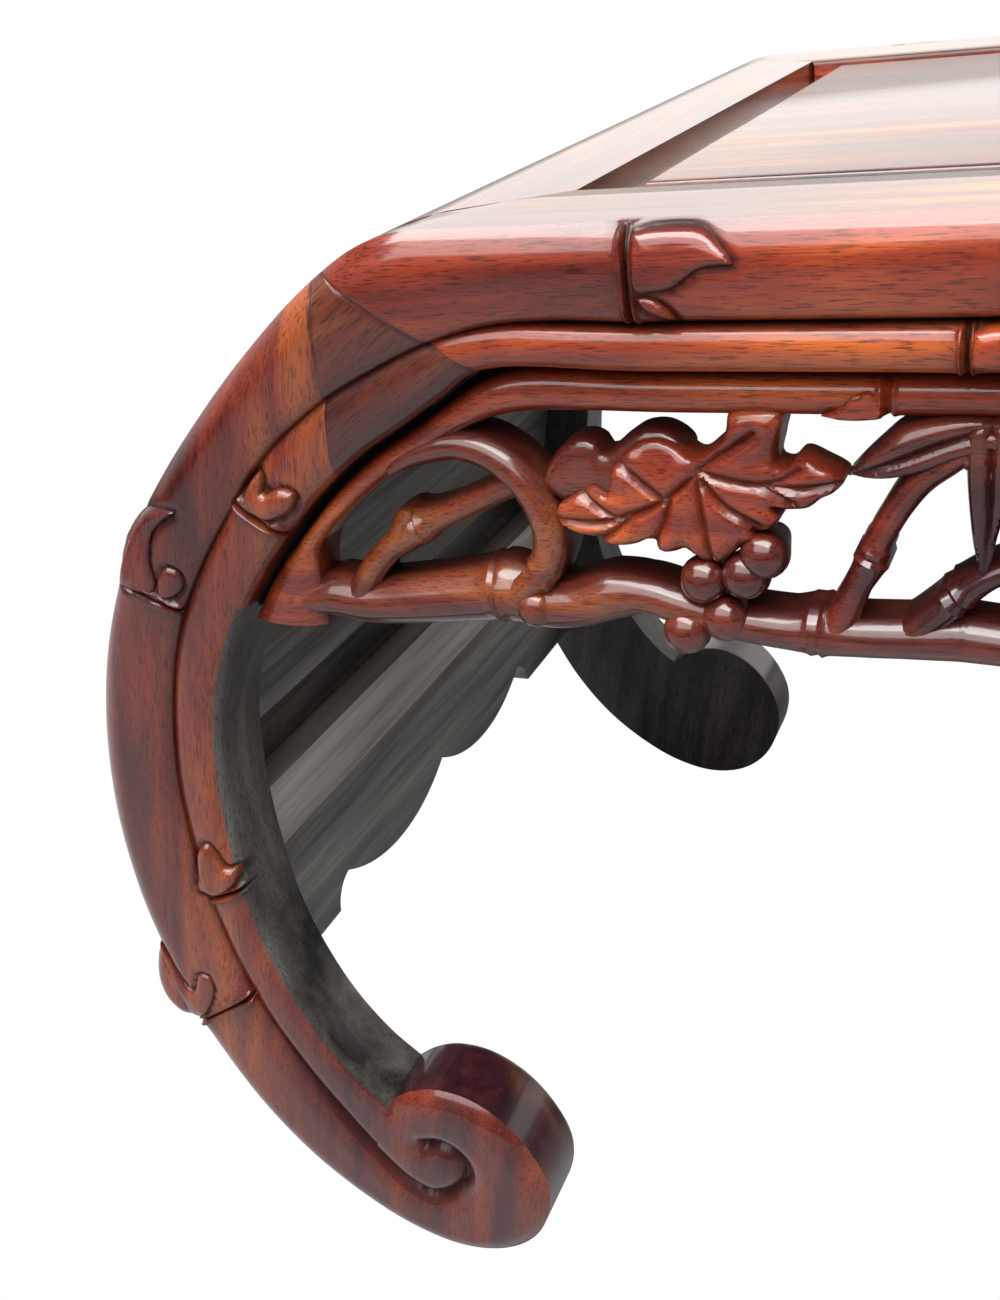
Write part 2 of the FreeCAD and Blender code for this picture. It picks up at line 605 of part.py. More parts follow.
for shares in (LEAF_SHARES, LONG_BLADE_SHARES, DROP_BLADE_SHARES):
    blade = outline(shares).extrude(V(0, frieze_thick + leaf_proud, 0))
    blade.translate(V(0, -leaf_proud, 0))
    solids.append(blade)
proud = size("berry_proud")
for shares in BERRIES_SHARES:
    at = place(shares)
    solids.append(Part.makeCylinder(size("berry_radius"), frieze_thick, at, V(0, 1, 0)).fuse(
        Part.makeCone(size("berry_radius"), size("berry_top_radius"), proud, at, V(0, -1, 0))))
middle_x = place((MOTIF_MIDDLE_SHARE, 0)).x
solids += [solid.mirror(V(middle_x, 0, 0), V(1, 0, 0)) for solid in solids]
solids.append(prism(bar, V(0, frieze_thick, 0)))
frame_clear = V(0, size("frieze_inset"), 0)
half_frieze = moulding.fuse(solids)
half_frieze = half_frieze.common(box(LEFT, 0, FRONT - THICK, BACK, 0, under_rail))
half_frieze.translate(frame_clear)
half_frieze = half_frieze.cut(leg).cut(leg_block)
frieze = half_frieze.fuse(both_ends(half_frieze)).removeSplitter()
keep("front_frieze", frieze)
keep("back_frieze", other_face(frieze))

doc.recompute()
os.makedirs("parts", exist_ok=True)
INSIDE = {"panel_field", "panel_margin_board", "panel_tongue_board", "sizes"}
for piece in doc.Objects:
    if "Invalid" in piece.State or "Error" in piece.State:
        raise RuntimeError("could not build %s" % piece.Label)
    if piece.Name in INSIDE:
        continue
    if piece.Shape.isNull() or not piece.Shape.isValid():
        raise RuntimeError("bad shape in %s" % piece.Label)
    piece.Shape.exportStep(os.path.join("parts", piece.Name + ".step"))
    print(piece.Name, piece.Shape.ShapeType, len(piece.Shape.Solids), round(piece.Shape.Volume / 1000))
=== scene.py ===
import bmesh
import bpy
import math
import numpy as np
from mathutils import Matrix, Vector
from mathutils.geometry import delaunay_2d_cdt


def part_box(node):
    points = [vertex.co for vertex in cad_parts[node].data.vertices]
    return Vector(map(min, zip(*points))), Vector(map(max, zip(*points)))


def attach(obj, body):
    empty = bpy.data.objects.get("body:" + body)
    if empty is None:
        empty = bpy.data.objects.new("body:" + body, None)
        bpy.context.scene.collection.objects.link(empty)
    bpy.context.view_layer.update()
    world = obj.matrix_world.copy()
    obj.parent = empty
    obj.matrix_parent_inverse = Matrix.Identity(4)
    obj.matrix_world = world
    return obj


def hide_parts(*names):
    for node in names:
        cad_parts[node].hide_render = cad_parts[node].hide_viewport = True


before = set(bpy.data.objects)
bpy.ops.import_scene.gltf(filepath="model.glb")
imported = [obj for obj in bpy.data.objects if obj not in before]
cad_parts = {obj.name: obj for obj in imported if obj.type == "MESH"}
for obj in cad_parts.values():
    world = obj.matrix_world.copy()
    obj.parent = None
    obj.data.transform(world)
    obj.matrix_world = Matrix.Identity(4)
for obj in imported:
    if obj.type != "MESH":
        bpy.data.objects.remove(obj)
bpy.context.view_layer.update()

# The polished hardwood
# A dense red-brown timber under a rubbed finish. Every piece carries the direction of its own
# boards in the attribute "grain", and in "hollow" the painted shade of its grooves, creases, gaps
# and hidden backs, with darker seam lines; the same value makes the finish rougher and duller.
HEARTWOOD = [(0.37, (0.065, 0.009, 0.007)), (0.46, (0.170, 0.021, 0.010)),
             (0.54, (0.280, 0.038, 0.011)), (0.64, (0.470, 0.100, 0.018))]
PORE_MARKS = [(0.36, (0.30, 0.24, 0.26)), (0.47, (1.0, 1.0, 1.0))]
# The near-black red that the painted shade mixes into the wood.
PAINTED_SHADE_COLOUR = (0.010, 0.003, 0.003, 1.0)
PORE_STRENGTH, PORE_DEPTH, HOLLOW_ROUGHER = 0.85, 0.25, 0.25
BAND_SCALE, CLOUD_SCALE = (6.0, 75.0, 75.0), (8.0, 20.0, 20.0)
PORE_SCALE, RIPPLE_SCALE = (150.0, 1900.0, 1900.0), (45.0, 130.0, 130.0)
BUMP_DISTANCE, COAT_ROUGHNESS, SPECULAR = 0.0008, 0.12, 0.25


def add(tree, kind, links=None, **settings):
    """One node, its plain values and what feeds its sockets."""
    node = tree.nodes.new(kind)
    sockets = settings.pop("values", {})
    for key, value in settings.items():
        setattr(node, key, value)
    for key, value in sockets.items():
        node.inputs[key].default_value = value
    for key, source in (links or {}).items():
        tree.links.new(source, node.inputs[key])
    return node


def new_material(name):
    """A material with nodes, and its tree."""
    made = bpy.data.materials.new(name)
    made.use_nodes = True
    return made, made.node_tree


def ramp(tree, source, stops):
    """A colour ramp with its stops."""
    node = add(tree, "ShaderNodeValToRGB", {"Fac": source})
    band = node.color_ramp
    while len(band.elements) < len(stops):
        band.elements.new(0.5)
    for element, (position, colour) in zip(band.elements, stops):
        element.position = position
        element.color = tuple(colour) + (1.0,)
    return node.outputs["Color"]


def noise(tree, vector, scale, detail, roughness, distortion=0.0):
    """A noise stretched along the grain."""
    stretched = add(tree, "ShaderNodeMapping", {"Vector": vector}, values={"Scale": scale})
    return add(tree, "ShaderNodeTexNoise", {"Vector": stretched.outputs[0]},
               values={"Scale": 1.0, "Detail": detail, "Roughness": roughness,
                       "Distortion": distortion}).outputs["Fac"]


wood = bpy.data.node_groups.new("hardwood", "ShaderNodeTree")
for label, way, kind in (("Grain", "INPUT", "NodeSocketVector"),
                         ("Color", "OUTPUT", "NodeSocketColor"),
                         ("Roughness", "OUTPUT", "NodeSocketFloat"),
                         ("Height", "OUTPUT", "NodeSocketFloat"),
                         ("Sheen", "OUTPUT", "NodeSocketFloat")):
    wood.interface.new_socket(label, in_out=way, socket_type=kind)
grain_in = wood.nodes.new("NodeGroupInput").outputs["Grain"]
bands = noise(wood, grain_in, BAND_SCALE, 5.0, 0.6, 0.8)
clouds = noise(wood, grain_in, CLOUD_SCALE, 3.0, 0.5)
pores = noise(wood, grain_in, PORE_SCALE, 2.0, 0.6)
ripple = noise(wood, grain_in, RIPPLE_SCALE, 2.0, 0.5)
both = add(wood, "ShaderNodeMath", {0: bands, 1: clouds}, operation="ADD")
tone = add(wood, "ShaderNodeMath", {0: both.outputs[0]}, values={1: 0.5}, operation="MULTIPLY")
body = ramp(wood, tone.outputs[0], HEARTWOOD)
dots = ramp(wood, pores, PORE_MARKS)
flecked = add(wood, "ShaderNodeMix", {6: body, 7: dots}, values={0: PORE_STRENGTH},
              data_type="RGBA", blend_type="MULTIPLY")
# Painted shade: the wood's colour goes towards near-black where "hollow" is high.
deepness = add(wood, "ShaderNodeAttribute", attribute_name="hollow").outputs["Fac"]
darkened = add(wood, "ShaderNodeMix", {0: deepness, 6: flecked.outputs[2]},
               values={7: PAINTED_SHADE_COLOUR}, data_type="RGBA")
rubbed = add(wood, "ShaderNodeMapRange", {"Value": clouds},
             values={"From Min": 0.3, "From Max": 0.7, "To Min": 0.22, "To Max": 0.36})
roughness = add(wood, "ShaderNodeMath", {0: deepness, 2: rubbed.outputs[0]},
                values={1: HOLLOW_ROUGHER}, operation="MULTIPLY_ADD")
uneven = add(wood, "ShaderNodeMath", {0: pores, 2: ripple}, values={1: PORE_DEPTH},
             operation="MULTIPLY_ADD")
sheen = add(wood, "ShaderNodeMapRange", {"Value": deepness},
            values={"From Min": 0.1, "From Max": 0.7, "To Min": 1.0, "To Max": 0.12})
wood_out = wood.nodes.new("NodeGroupOutput")
for label, source in (("Color", darkened.outputs[2]), ("Roughness", roughness.outputs[0]),
                      ("Height", uneven.outputs[0]), ("Sheen", sheen.outputs[0])):
    wood.links.new(source, wood_out.inputs[label])


def wood_material(name, tint, gloss, bump, strength=1.0):
    """Hardwood with a tint over it, more or less of its own colour, and a thin rubbed coat."""
    made, tree = new_material(name)
    shader = tree.nodes["Principled BSDF"]
    where = add(tree, "ShaderNodeAttribute", attribute_name="grain")
    look = add(tree, "ShaderNodeGroup", {"Grain": where.outputs["Vector"]}, node_tree=wood)
    faded = add(tree, "ShaderNodeHueSaturation", {"Color": look.outputs["Color"]},
                values={"Saturation": strength})
    tinted = add(tree, "ShaderNodeMix", {6: faded.outputs["Color"]},
                 values={0: 1.0, 7: tint + (1.0,)}, data_type="RGBA", blend_type="MULTIPLY")
    height = add(tree, "ShaderNodeBump", {"Height": look.outputs["Height"]},
                 values={"Strength": bump, "Distance": BUMP_DISTANCE})
    coat = add(tree, "ShaderNodeMath", {0: look.outputs["Sheen"]}, values={1: gloss},
               operation="MULTIPLY")
    for label, source in (("Base Color", tinted.outputs[2]), ("Roughness", look.outputs["Roughness"]),
                          ("Normal", height.outputs["Normal"]), ("Coat Weight", coat.outputs[0])):
        tree.links.new(source, shader.inputs[label])
    shader.inputs["Coat Roughness"].default_value = COAT_ROUGHNESS
    shader.inputs["Specular IOR Level"].default_value = SPECULAR
    return made


# The carved face frames
# Each long face is a rail and two legs mitred together. Two beads run along it side by side, like
# canes of bamboo, with joints and buds; at the foot the outer bead winds into a scroll.
# Places are in mm: along from the table's left end and up from the floor.
LONG, DEEP, HIGH, THICK = 960.0, 404.0, 400.0, 32.0
OUTER = [(480, 400), (300, 400), (200, 400), (172, 400), (159, 400), (149, 398.3), (140, 395),
         (131, 390), (119, 382), (108, 373.5), (92, 360), (77, 346), (65, 334), (52, 319.5),
         (42, 306), (34, 294), (25, 278), (18, 263), (12, 247), (6.5, 228), (2, 205), (0, 185),
         (0, 161), (2, 142), (9, 110), (18, 84), (32, 57), (50, 34), (71, 16.5), (92, 5),
         (114, 0.2), (133, 4), (147, 15), (155, 31), (156.5, 48), (150, 65), (140, 77), (127, 84),
         (113, 84.5), (102, 80), (94, 74)]
GROOVE = [(480, 375), (300, 375), (220, 375), (180, 375), (160, 370.5), (142, 363), (124, 354),
          (104, 340), (95, 331), (81, 315.5), (70, 302), (56, 281), (46, 259), (39, 235),
          (34.5, 211), (33.5, 186), (35, 161), (39, 134), (47, 108), (58, 84), (70, 64), (84, 45),
          (96, 33), (107, 29), (117, 34), (123, 43), (122, 53), (115, 58), (107, 56)]
INNER = [(480, 362), (300, 362), (220, 362), (174, 362), (161, 354.5), (149, 347), (132, 337),
         (114, 323), (101, 310), (89, 297), (77, 281), (66, 261), (57, 237), (53, 213),
         (51.5, 192), (52, 171), (54, 148), (60, 125), (70, 102), (83, 84), (94, 74)]
EYE = (113.0, 47.0)
# Where a cut across both beads meets the outer line, the groove and the inner line.
ROWS = [((128, 386), (125, 354), (124, 331)), ((90, 358), (104, 340), (114, 323)),
        ((70, 339), (88, 323.5), (103.5, 313)), ((61, 330), (81, 315), (95, 303)),
        ((33, 293), (56, 281), (72, 272)), ((11, 241), (39, 235), (55.5, 230)),
        ((0, 186), (34, 186), (52, 186)), ((0.3, 156), (35, 162.5), (52.5, 170)),
        ((4.5, 126), (39, 134), (56.5, 138)), ((12.5, 98), (43.5, 119), (61.5, 122)),
        ((25, 67), (58, 84), (75, 94)),
        ((45, 39), (72, 61), (86, 80)), ((60, 26), (83, 46), (94, 74))]
# Each joint's two ends and its bead, then the seams of the spliced block, then the buds: an
# outline, its bead, how high it stands and how far in from its edge it is rounded.
RINGS = [((33, 295), (58, 284), 1), ((88, 322), (100, 314), 2), ((31, 161), (50, 169), 2),
         ((8, 95), (40, 116), 1), ((220, 401), (220, 376), 1), ((301, 375), (301, 362), 2),
         ((372, 401), (372, 376), 1), ((430, 375), (430, 362), 2)]
SEAMS = [((128, 386), (124, 331)), ((131, 390), (174, 362))]
BUDS = [([(34, 291), (35, 299), (40, 308), (46, 315), (53, 319), (66, 319), (59, 315), (54, 310),
          (51, 302), (51, 294), (49, 290), (41, 290)], 1, 2.6, 6.0),
        ([(51, 292), (53, 297), (57, 300), (61, 298), (61, 293), (55, 288), (51, 289)], 1, 2.4, 3.5),
        ([(90, 322), (93, 328), (99, 333), (100, 330), (99, 326), (105, 328), (110, 326),
          (108, 321), (103, 318), (98, 317), (92, 320)], 2, 2.8, 3.5),
        ([(33, 177), (36, 185), (41, 189), (45, 184), (47, 179), (51, 179), (50, 173), (40, 165),
          (32, 166)], 2, 2.8, 4.5),
        ([(4, 137), (7, 130), (10, 122), (16, 116), (22, 126), (27, 124), (26, 115), (17, 102),
          (5, 98), (-2, 104), (-4, 114), (-1, 127)], 1, 2.8, 6.0),
        ([(221.5, 398), (228, 399), (236, 399), (240, 398), (243.5, 395), (247.5, 390), (243, 389.6),
          (238.5, 388.8), (235, 386.6), (232, 384.6), (227, 383.4), (221.5, 383.6)], 1, 2.6, 5.0),
        ([(221.5, 382.6), (225, 382.8), (228.5, 381), (232, 376.4), (227, 377), (223, 379.5)],
         1, 2.4, 3.0),
        ([(302, 373), (306, 374.5), (310, 375), (314, 374), (320, 369), (314, 364), (307, 363),
          (302, 364)], 2, 2.6, 4.0),
        ([(371, 398), (362, 398.5), (352, 397), (344, 393), (352, 390), (360, 386), (371, 384)],
         1, 2.6, 5.0),
        ([(429, 374), (420, 374), (412, 369), (420, 364), (429, 363)], 2, 2.6, 4.0)]
LEG_BUDS, LEG_RINGS = 5, 4
# Where the outer edge stands out beside a bud or a joint: its middle, reach and rise.
SWELLS = [((42, 306), 10, 3.0), ((3, 116), 12, 2.5), ((33, 295), 3, 1.2), ((11, 98), 3, 1.0)]
# How far from each line a face starts to fall, and how far it falls there.
OUTER_EDGE, INNER_EDGE = (11.0, 5.2), (7.5, 6.0)
UPPER_FALL, FOOT_FALL = (13.0, 6.0), (11.0, 5.5)
SHOULDER_REACH, SHOULDER_FALL = 7.0, 3.9
# The groove is cut shallow down the leg, full along the rail and deeper again round the scroll.
LEG_CUT, RAIL_CUT, FOOT_CUT, LEAST_WORKED = 0.28, 0.72, 0.5, 0.3
RAIL_START, RAIL_EASE, FOOT_TOP, FOOT_EASE = 165.0, 35.0, 110.0, 45.0
FACE_BACK, SECOND_BACK = 1.0, 2.0
# GROOVE_DARK, over GROOVE_SHADE_WIDE and GROOVE_SHADE_WIDER, is painted shade along the groove.
GROOVE_DEEP, GROOVE_WIDE, GROOVE_WIDER, GROOVE_DARK = 1.2, 1.0, 1.5, 0.95
GROOVE_SHADE_WIDE, GROOVE_SHADE_WIDER = 1.5, 2.0
KNOB_BACK, KNOB_FALL, KNOB_REACH = 1.6, 4.5, 10.0
SEAM_DEEP, SEAM_DARK, SEAM_WIDE = 0.35, 0.55, 0.5
LIP_RISE, LIP_AWAY, LIP_WIDE = 1.5, 1.4, 0.7
JOINT_SWELL, JOINT_REACH, JOINT_LIMIT, JOINT_RIM = 1.2, 6.0, 30.0, 3.0
# CREASE_DARK is painted shade in the crease of each joint.
CREASE_DEEP, CREASE_WIDE, CREASE_DARK = 2.4, 0.6, 0.95
JOINT_SHADE, JOINT_SHADE_WIDE = 0.4, 5.0
JOINT_BEFORE, JOINT_PAST = 14.0, 6.0
# BUD_DARK and BUD_RIM_DARK are painted shade under each bud and in the crease round it.
BUD_SINK, BUD_SINK_WIDE, BUD_SHADE_WIDE, BUD_DARK, BUD_RIM_DARK = 0.9, 0.8, 1.2, 0.5, 0.9
# Painted shade on the backs and back edges of the carved pieces.
BACK_SHADE = 0.6
OUTER_STEP, SHARP_ANGLE = 1.5, 35.0
# How far apart in the wood the pieces lie, by end, by face and by the length of the name.
END_SHIFT, FACE_SHIFT, NAME_SHIFT = 1.7, 3.1, 0.43


def blend(t, start, end, a, b):
    """From one place at a start to another at an end."""
    return (end - t) / (end - start) * a + (t - start) / (end - start) * b


def smooth_line(points, step):
    """An even row of points on a smooth curve through the given ones."""
    p = np.array(points, float)
    p = np.vstack([2 * p[0] - p[1], p, 2 * p[-1] - p[-2]])
    out = []
    for a, b, c, d in zip(p[:-3], p[1:-2], p[2:-1], p[3:]):
        span = [max(np.linalg.norm(v), 1e-6) ** 0.5 for v in (b - a, c - b, d - c)]
        t0, t1 = 0.0, span[0]
        t2, t3 = t1 + span[1], t1 + span[1] + span[2]
        t = np.linspace(t1, t2, 12, endpoint=False)[:, None]
        ab, bc, cd = blend(t, t0, t1, a, b), blend(t, t1, t2, b, c), blend(t, t2, t3, c, d)
        out.append(blend(t, t1, t2, blend(t, t0, t2, ab, bc), blend(t, t1, t3, bc, cd)))
    line = np.vstack(out + [p[-2][None]])
    run = np.concatenate([[0], np.cumsum(np.linalg.norm(np.diff(line, axis=0), axis=1))])
    even = np.linspace(0, run[-1], max(2, int(run[-1] / step) + 1))
    return np.stack([np.interp(even, run, line[:, 0]), np.interp(even, run, line[:, 1])], 1)


def distance(p, line, reach=30.0):
    """How far each point is from a chain of straight pieces, if within reach of it."""
    best = np.full(len(p), reach)
    order = np.argsort(p[:, 0], kind="stable")
    across = p[order, 0]
    for a, b in zip(line[:-1], line[1:]):
        low = np.searchsorted(across, min(a[0], b[0]) - reach)
        high = np.searchsorted(across, max(a[0], b[0]) + reach)
        some = order[low:high]
        along = b - a
        share = np.clip(((p[some] - a) @ along) / max(along @ along, 1e-9), 0, 1)
        best[some] = np.minimum(best[some],
                                np.linalg.norm(p[some] - a - share[:, None] * along, axis=1))
    return best


def inside(p, outline):
    """Whether each point is inside a closed outline."""
    odd = np.zeros(len(p), bool)
    for a, b in zip(outline, np.roll(outline, -1, axis=0)):
        crosses = (a[1] > p[:, 1]) != (b[1] > p[:, 1])
        slope = (b[0] - a[0]) / (b[1] - a[1] if b[1] != a[1] else 1e-9)
        odd ^= crosses & (p[:, 0] < a[0] + slope * (p[:, 1] - a[1]))
    return odd


def round_off(d, reach, drop):
    """A quarter-round: how far the surface has dropped at a distance from an edge."""
    share = 1 - np.clip(d / reach, 0, 1)
    return drop * (1 - np.sqrt(np.maximum(0.0, 1 - share ** 2)))


def slant_off(d, reach, drop):
    """A shoulder that is steepest at the edge and runs out level."""
    return drop * np.clip(1 - d / reach, 0, 1) ** 2.5


def ridge(d, wide):
    """One on a line, fading smoothly to nothing over a width."""
    return np.exp(-(d / wide) ** 2)


groove_line = smooth_line(GROOVE, 2.0)
outer_line = smooth_line(OUTER, OUTER_STEP)
outer_line[:, 1] = np.minimum(outer_line[:, 1], HIGH)
inner_line = smooth_line(INNER, 2.0)
face_lines = (outer_line, groove_line, inner_line)
bud_lines = [(smooth_line(outline + outline[:1], 1.2), on, rise, reach)
             for outline, on, rise, reach in BUDS]


def relief(p, side, buds=True):
    """Depth of the carved front behind the front plane, and its painted shade in grooves, creases and
    round buds, with dark seam lines.
    """
    d_out, d_groove, d_in = (distance(p, line) for line in face_lines)
    foot = np.clip((FOOT_TOP - p[:, 1]) / FOOT_EASE, 0, 1)
    rail = np.clip((p[:, 0] - RAIL_START) / RAIL_EASE, 0, 1)
    cut = np.clip(LEG_CUT + RAIL_CUT * rail + FOOT_CUT * foot, 0, 1)
    worked = LEAST_WORKED + (1 - LEAST_WORKED) * cut
    fall = round_off(d_groove, *UPPER_FALL) * (1 - foot) + slant_off(d_groove, *FOOT_FALL) * foot
    first = np.maximum(slant_off(d_out, *OUTER_EDGE), fall * worked)
    shoulder = slant_off(d_groove, SHOULDER_REACH, SHOULDER_FALL * worked)
    second = SECOND_BACK + np.maximum(round_off(d_in, *INNER_EDGE), shoulder)
    depth = np.where(side == 1, first, second)
    depth = depth + GROOVE_DEEP * cut * ridge(d_groove, GROOVE_WIDE + GROOVE_WIDER * foot)
    # Painted shade along the groove, wider round the scroll.
    shade_wide = GROOVE_SHADE_WIDE + GROOVE_SHADE_WIDER * foot
    hollow = GROOVE_DARK * cut * ridge(d_groove, shade_wide)
    from_eye = np.linalg.norm(p - np.array(EYE), axis=1)
    depth = np.minimum(depth, KNOB_BACK + KNOB_FALL * (from_eye / KNOB_REACH) ** 2.5)
    for a, b in SEAMS:
        seam = ridge(distance(p, np.array([a, b], float), 6.0), SEAM_WIDE)
        depth = depth + SEAM_DEEP * seam
        hollow = np.maximum(hollow, SEAM_DARK * seam)
    if buds:
        rim = np.clip(d_out / JOINT_RIM, 0, 1)
        for start, end, on in RINGS:
            start, end = np.array(start, float), np.array(end, float)
            length = np.linalg.norm(end - start)
            along = (end - start) / length
            run = (p - start) @ along
            away = np.abs((p - start) @ np.array([-along[1], along[0]]))
            on_it = (side == on) & (run > -JOINT_BEFORE) & (run < length + JOINT_PAST)
            lips = LIP_RISE * ridge(away - LIP_AWAY, LIP_WIDE)
            swell = JOINT_SWELL * np.exp(-away / JOINT_REACH)
            crease = CREASE_DEEP * ridge(away, CREASE_WIDE)
            near_it = on_it & (away < JOINT_LIMIT)
            depth = depth + np.where(near_it, crease - lips - swell, 0) * rim
            # Painted shade in the joint's crease, with the darker band beside it.
            dark = np.maximum(CREASE_DARK * ridge(away, CREASE_WIDE),
                              JOINT_SHADE * ridge(away, JOINT_SHADE_WIDE))
            hollow = np.maximum(hollow, np.where(on_it, dark, 0))
        for outline, on, rise, reach in bud_lines:
            near = distance(p, outline)
            within = inside(p, outline)
            depth = depth + np.where(within, BUD_SINK, BUD_SINK * ridge(near, BUD_SINK_WIDE))
            # Painted shade under the bud and in the crease round it.
            shade = np.where(within, BUD_DARK, BUD_RIM_DARK * ridge(near, BUD_SHADE_WIDE))
            hollow = np.maximum(hollow, shade)
    return np.clip(depth + FACE_BACK, 0, None), np.clip(hollow, 0, 1)


def at_share(line, share):
    """Points at shares of a line's length."""
    run = np.linspace(0, 1, len(line))
    return np.stack([np.interp(share, run, line[:, 0]), np.interp(share, run, line[:, 1])], -1)


def share_of(line, point):
    """The share of a line's length at which it comes nearest a point."""
    return np.argmin(np.linalg.norm(line - np.array(point, float), axis=1)) / (len(line) - 1)


def new_object(name, data):
    """An object of the scene."""
    made = bpy.data.objects.new(name, data)
    bpy.context.scene.collection.objects.link(made)
    return made


def build(name, shells, node, sx, sy, materials, lean=0.0):
    """One piece from closed shells of (places in mm, faces, hollows of painted shade, material
    numbers).

    Its boards lean from the table's length by an angle; at 90 they run across the table."""
    verts, faces, hollow, kinds = [], [], [], []
    start = 0
    for shell in shells:
        verts.append(shell[0])
        faces += [[start + int(i) for i in f] for f in shell[1]]
        hollow.append(shell[2])
        kinds += list(shell[3])
        start += len(shell[0])
    verts = np.vstack(verts)
    metres = (verts - (LONG / 2, DEEP / 2, 0)) * (sx, sy, 1) / 1000
    mesh = bpy.data.meshes.new(name)
    mesh.from_pydata([tuple(v) for v in metres], [], faces)
    grain_data = mesh.attributes.new("grain", "FLOAT_VECTOR", "POINT")
    turn = math.radians(lean)
    along = verts[:, 0] * math.cos(turn) + verts[:, 2] * math.sin(turn)
    across = verts[:, 2] * math.cos(turn) - verts[:, 0] * math.sin(turn)
    layer = verts[:, 1]
    if lean == 90:
        along, across, layer = verts[:, 1], verts[:, 0] + verts[:, 2], verts[:, 0] - verts[:, 2]
    seed = END_SHIFT * sx + FACE_SHIFT * sy + len(name) * NAME_SHIFT
    grain = np.stack([along / 1000 + seed, layer / 1000 + seed, across / 1000], 1)
    grain_data.data.foreach_set("vector", grain.astype(np.float32).ravel())
    hollow_data = mesh.attributes.new("hollow", "FLOAT", "POINT")
    hollow_data.data.foreach_set("value", np.concatenate(hollow).astype(np.float32))
    mesh.polygons.foreach_set("material_index", np.array(kinds, np.int32))
    mesh.polygons.foreach_set("use_smooth", np.ones(len(kinds), bool))
    shape = bmesh.new()
    shape.from_mesh(mesh)
    bmesh.ops.recalc_face_normals(shape, faces=shape.faces)
    shape.to_mesh(mesh)
    shape.free()
    mesh.set_sharp_from_angle(angle=math.radians(SHARP_ANGLE))
    for made in materials:
        mesh.materials.append(made)
    piece = new_object(name, mesh)
    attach(piece, "root")
    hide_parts(*node)


def tube(loops, hollow=None, kinds=None):
    """A closed tube through loops of points, with a face over each end."""
    loops = np.asarray(loops, float)
    rows, around = loops.shape[:2]
    faces, numbers = [], []
    for i in range(rows - 1):
        for j in range(around):
            k = (j + 1) % around
            faces.append([i * around + j, i * around + k, (i + 1) * around + k,
                          (i + 1) * around + j])
            numbers.append(kinds[j] if kinds else 0)
    faces.append(list(range(around))[::-1])
    faces.append([(rows - 1) * around + j for j in range(around)])
    numbers += [0, 0]
    if hollow is None:
        hollow = np.zeros((rows, around))
    return loops.reshape(-1, 3), faces, np.asarray(hollow).ravel(), numbers


def mirrored(shell, middle):
    """The same shell on the other side of a line across the table."""
    verts = shell[0].copy()
    verts[:, 0] = 2 * middle - verts[:, 0]
    return (verts,) + shell[1:]


def patch(outline, spacing, front, back, veins=()):
    """A thin slab with a smooth outline and a carved front, from a net that follows its veins."""
    low, high = outline.min(0), outline.max(0)
    us = np.arange(low[0], high[0], spacing)
    zs = np.arange(low[1], high[1], spacing * 0.87)
    grid = np.array([(u + (k % 2) * spacing / 2, z) for k, z in enumerate(zs) for u in us])
    extra = np.zeros((0, 2))
    for vein in veins:
        line = smooth_line(vein, spacing)
        off = np.gradient(line, axis=0)[:, ::-1] * (-1, 1)
        off *= spacing * 0.9 / np.linalg.norm(off, axis=1)[:, None]
        grid = grid[distance(grid, line) > spacing * 1.5]
        extra = extra[distance(extra, line) > spacing * 1.2]
        extra = np.vstack([extra, line, line + off, line - off])
    grid = np.vstack([grid, extra])
    keep = inside(grid, outline) & (distance(grid, outline) > spacing * 0.55)
    points = np.vstack([outline, grid[keep]])
    edges = [(k, (k + 1) % len(outline)) for k in range(len(outline))]
    net = delaunay_2d_cdt([Vector(p) for p in points], edges, [], 1, 1e-5)
    flat = np.array([tuple(v) for v in net[0]])
    triangles = [list(f) for f in net[2]]
    count = len(flat)
    depth, hollow = front(flat)
    near = np.stack([flat[:, 0], depth, flat[:, 1]], 1)
    uses = set()
    for f in triangles:
        uses.update(zip(f, f[1:] + f[:1]))
    after = {a: b for a, b in uses if (b, a) not in uses}
    rim = [min(after)]
    while after[rim[-1]] != rim[0]:
        rim.append(after[rim[-1]])
    behind = near[rim].copy()
    behind[:, 1] = back
    ring = list(range(count, count + len(rim)))
    faces = triangles + [ring[::-1]]
    faces += [[b, a, c, d] for a, b, c, d in
              zip(rim, rim[1:] + rim[:1], ring, ring[1:] + ring[:1])]
    # Painted shade on the slab's back edge.
    return (np.vstack([near, behind]), faces,
            np.concatenate([hollow, np.full(len(rim), BACK_SHADE)]), [0] * len(faces))


def eased(count):
    """Shares from 0 to 1 that crowd together at both ends."""
    return 0.5 - 0.5 * np.cos(np.linspace(0, math.pi, count))


def frame_rows(shares):
    """Rows of front points across both beads, with the bead that each point is on."""
    rows = []
    t, r = eased(N_FIRST + 1)[:, None], eased(N_SECOND + 1)[1:, None]
    for cut in zip(*shares):
        o, g, i = (at_share(line, share) for line, share in zip(face_lines, cut))
        rows.append(np.vstack([o + (g - o) * t, g + (i - g) * r]))
    sides = np.tile(np.r_[np.ones(N_FIRST + 1, int), np.full(N_SECOND, 2)], (len(rows), 1))
    return np.array(rows), sides


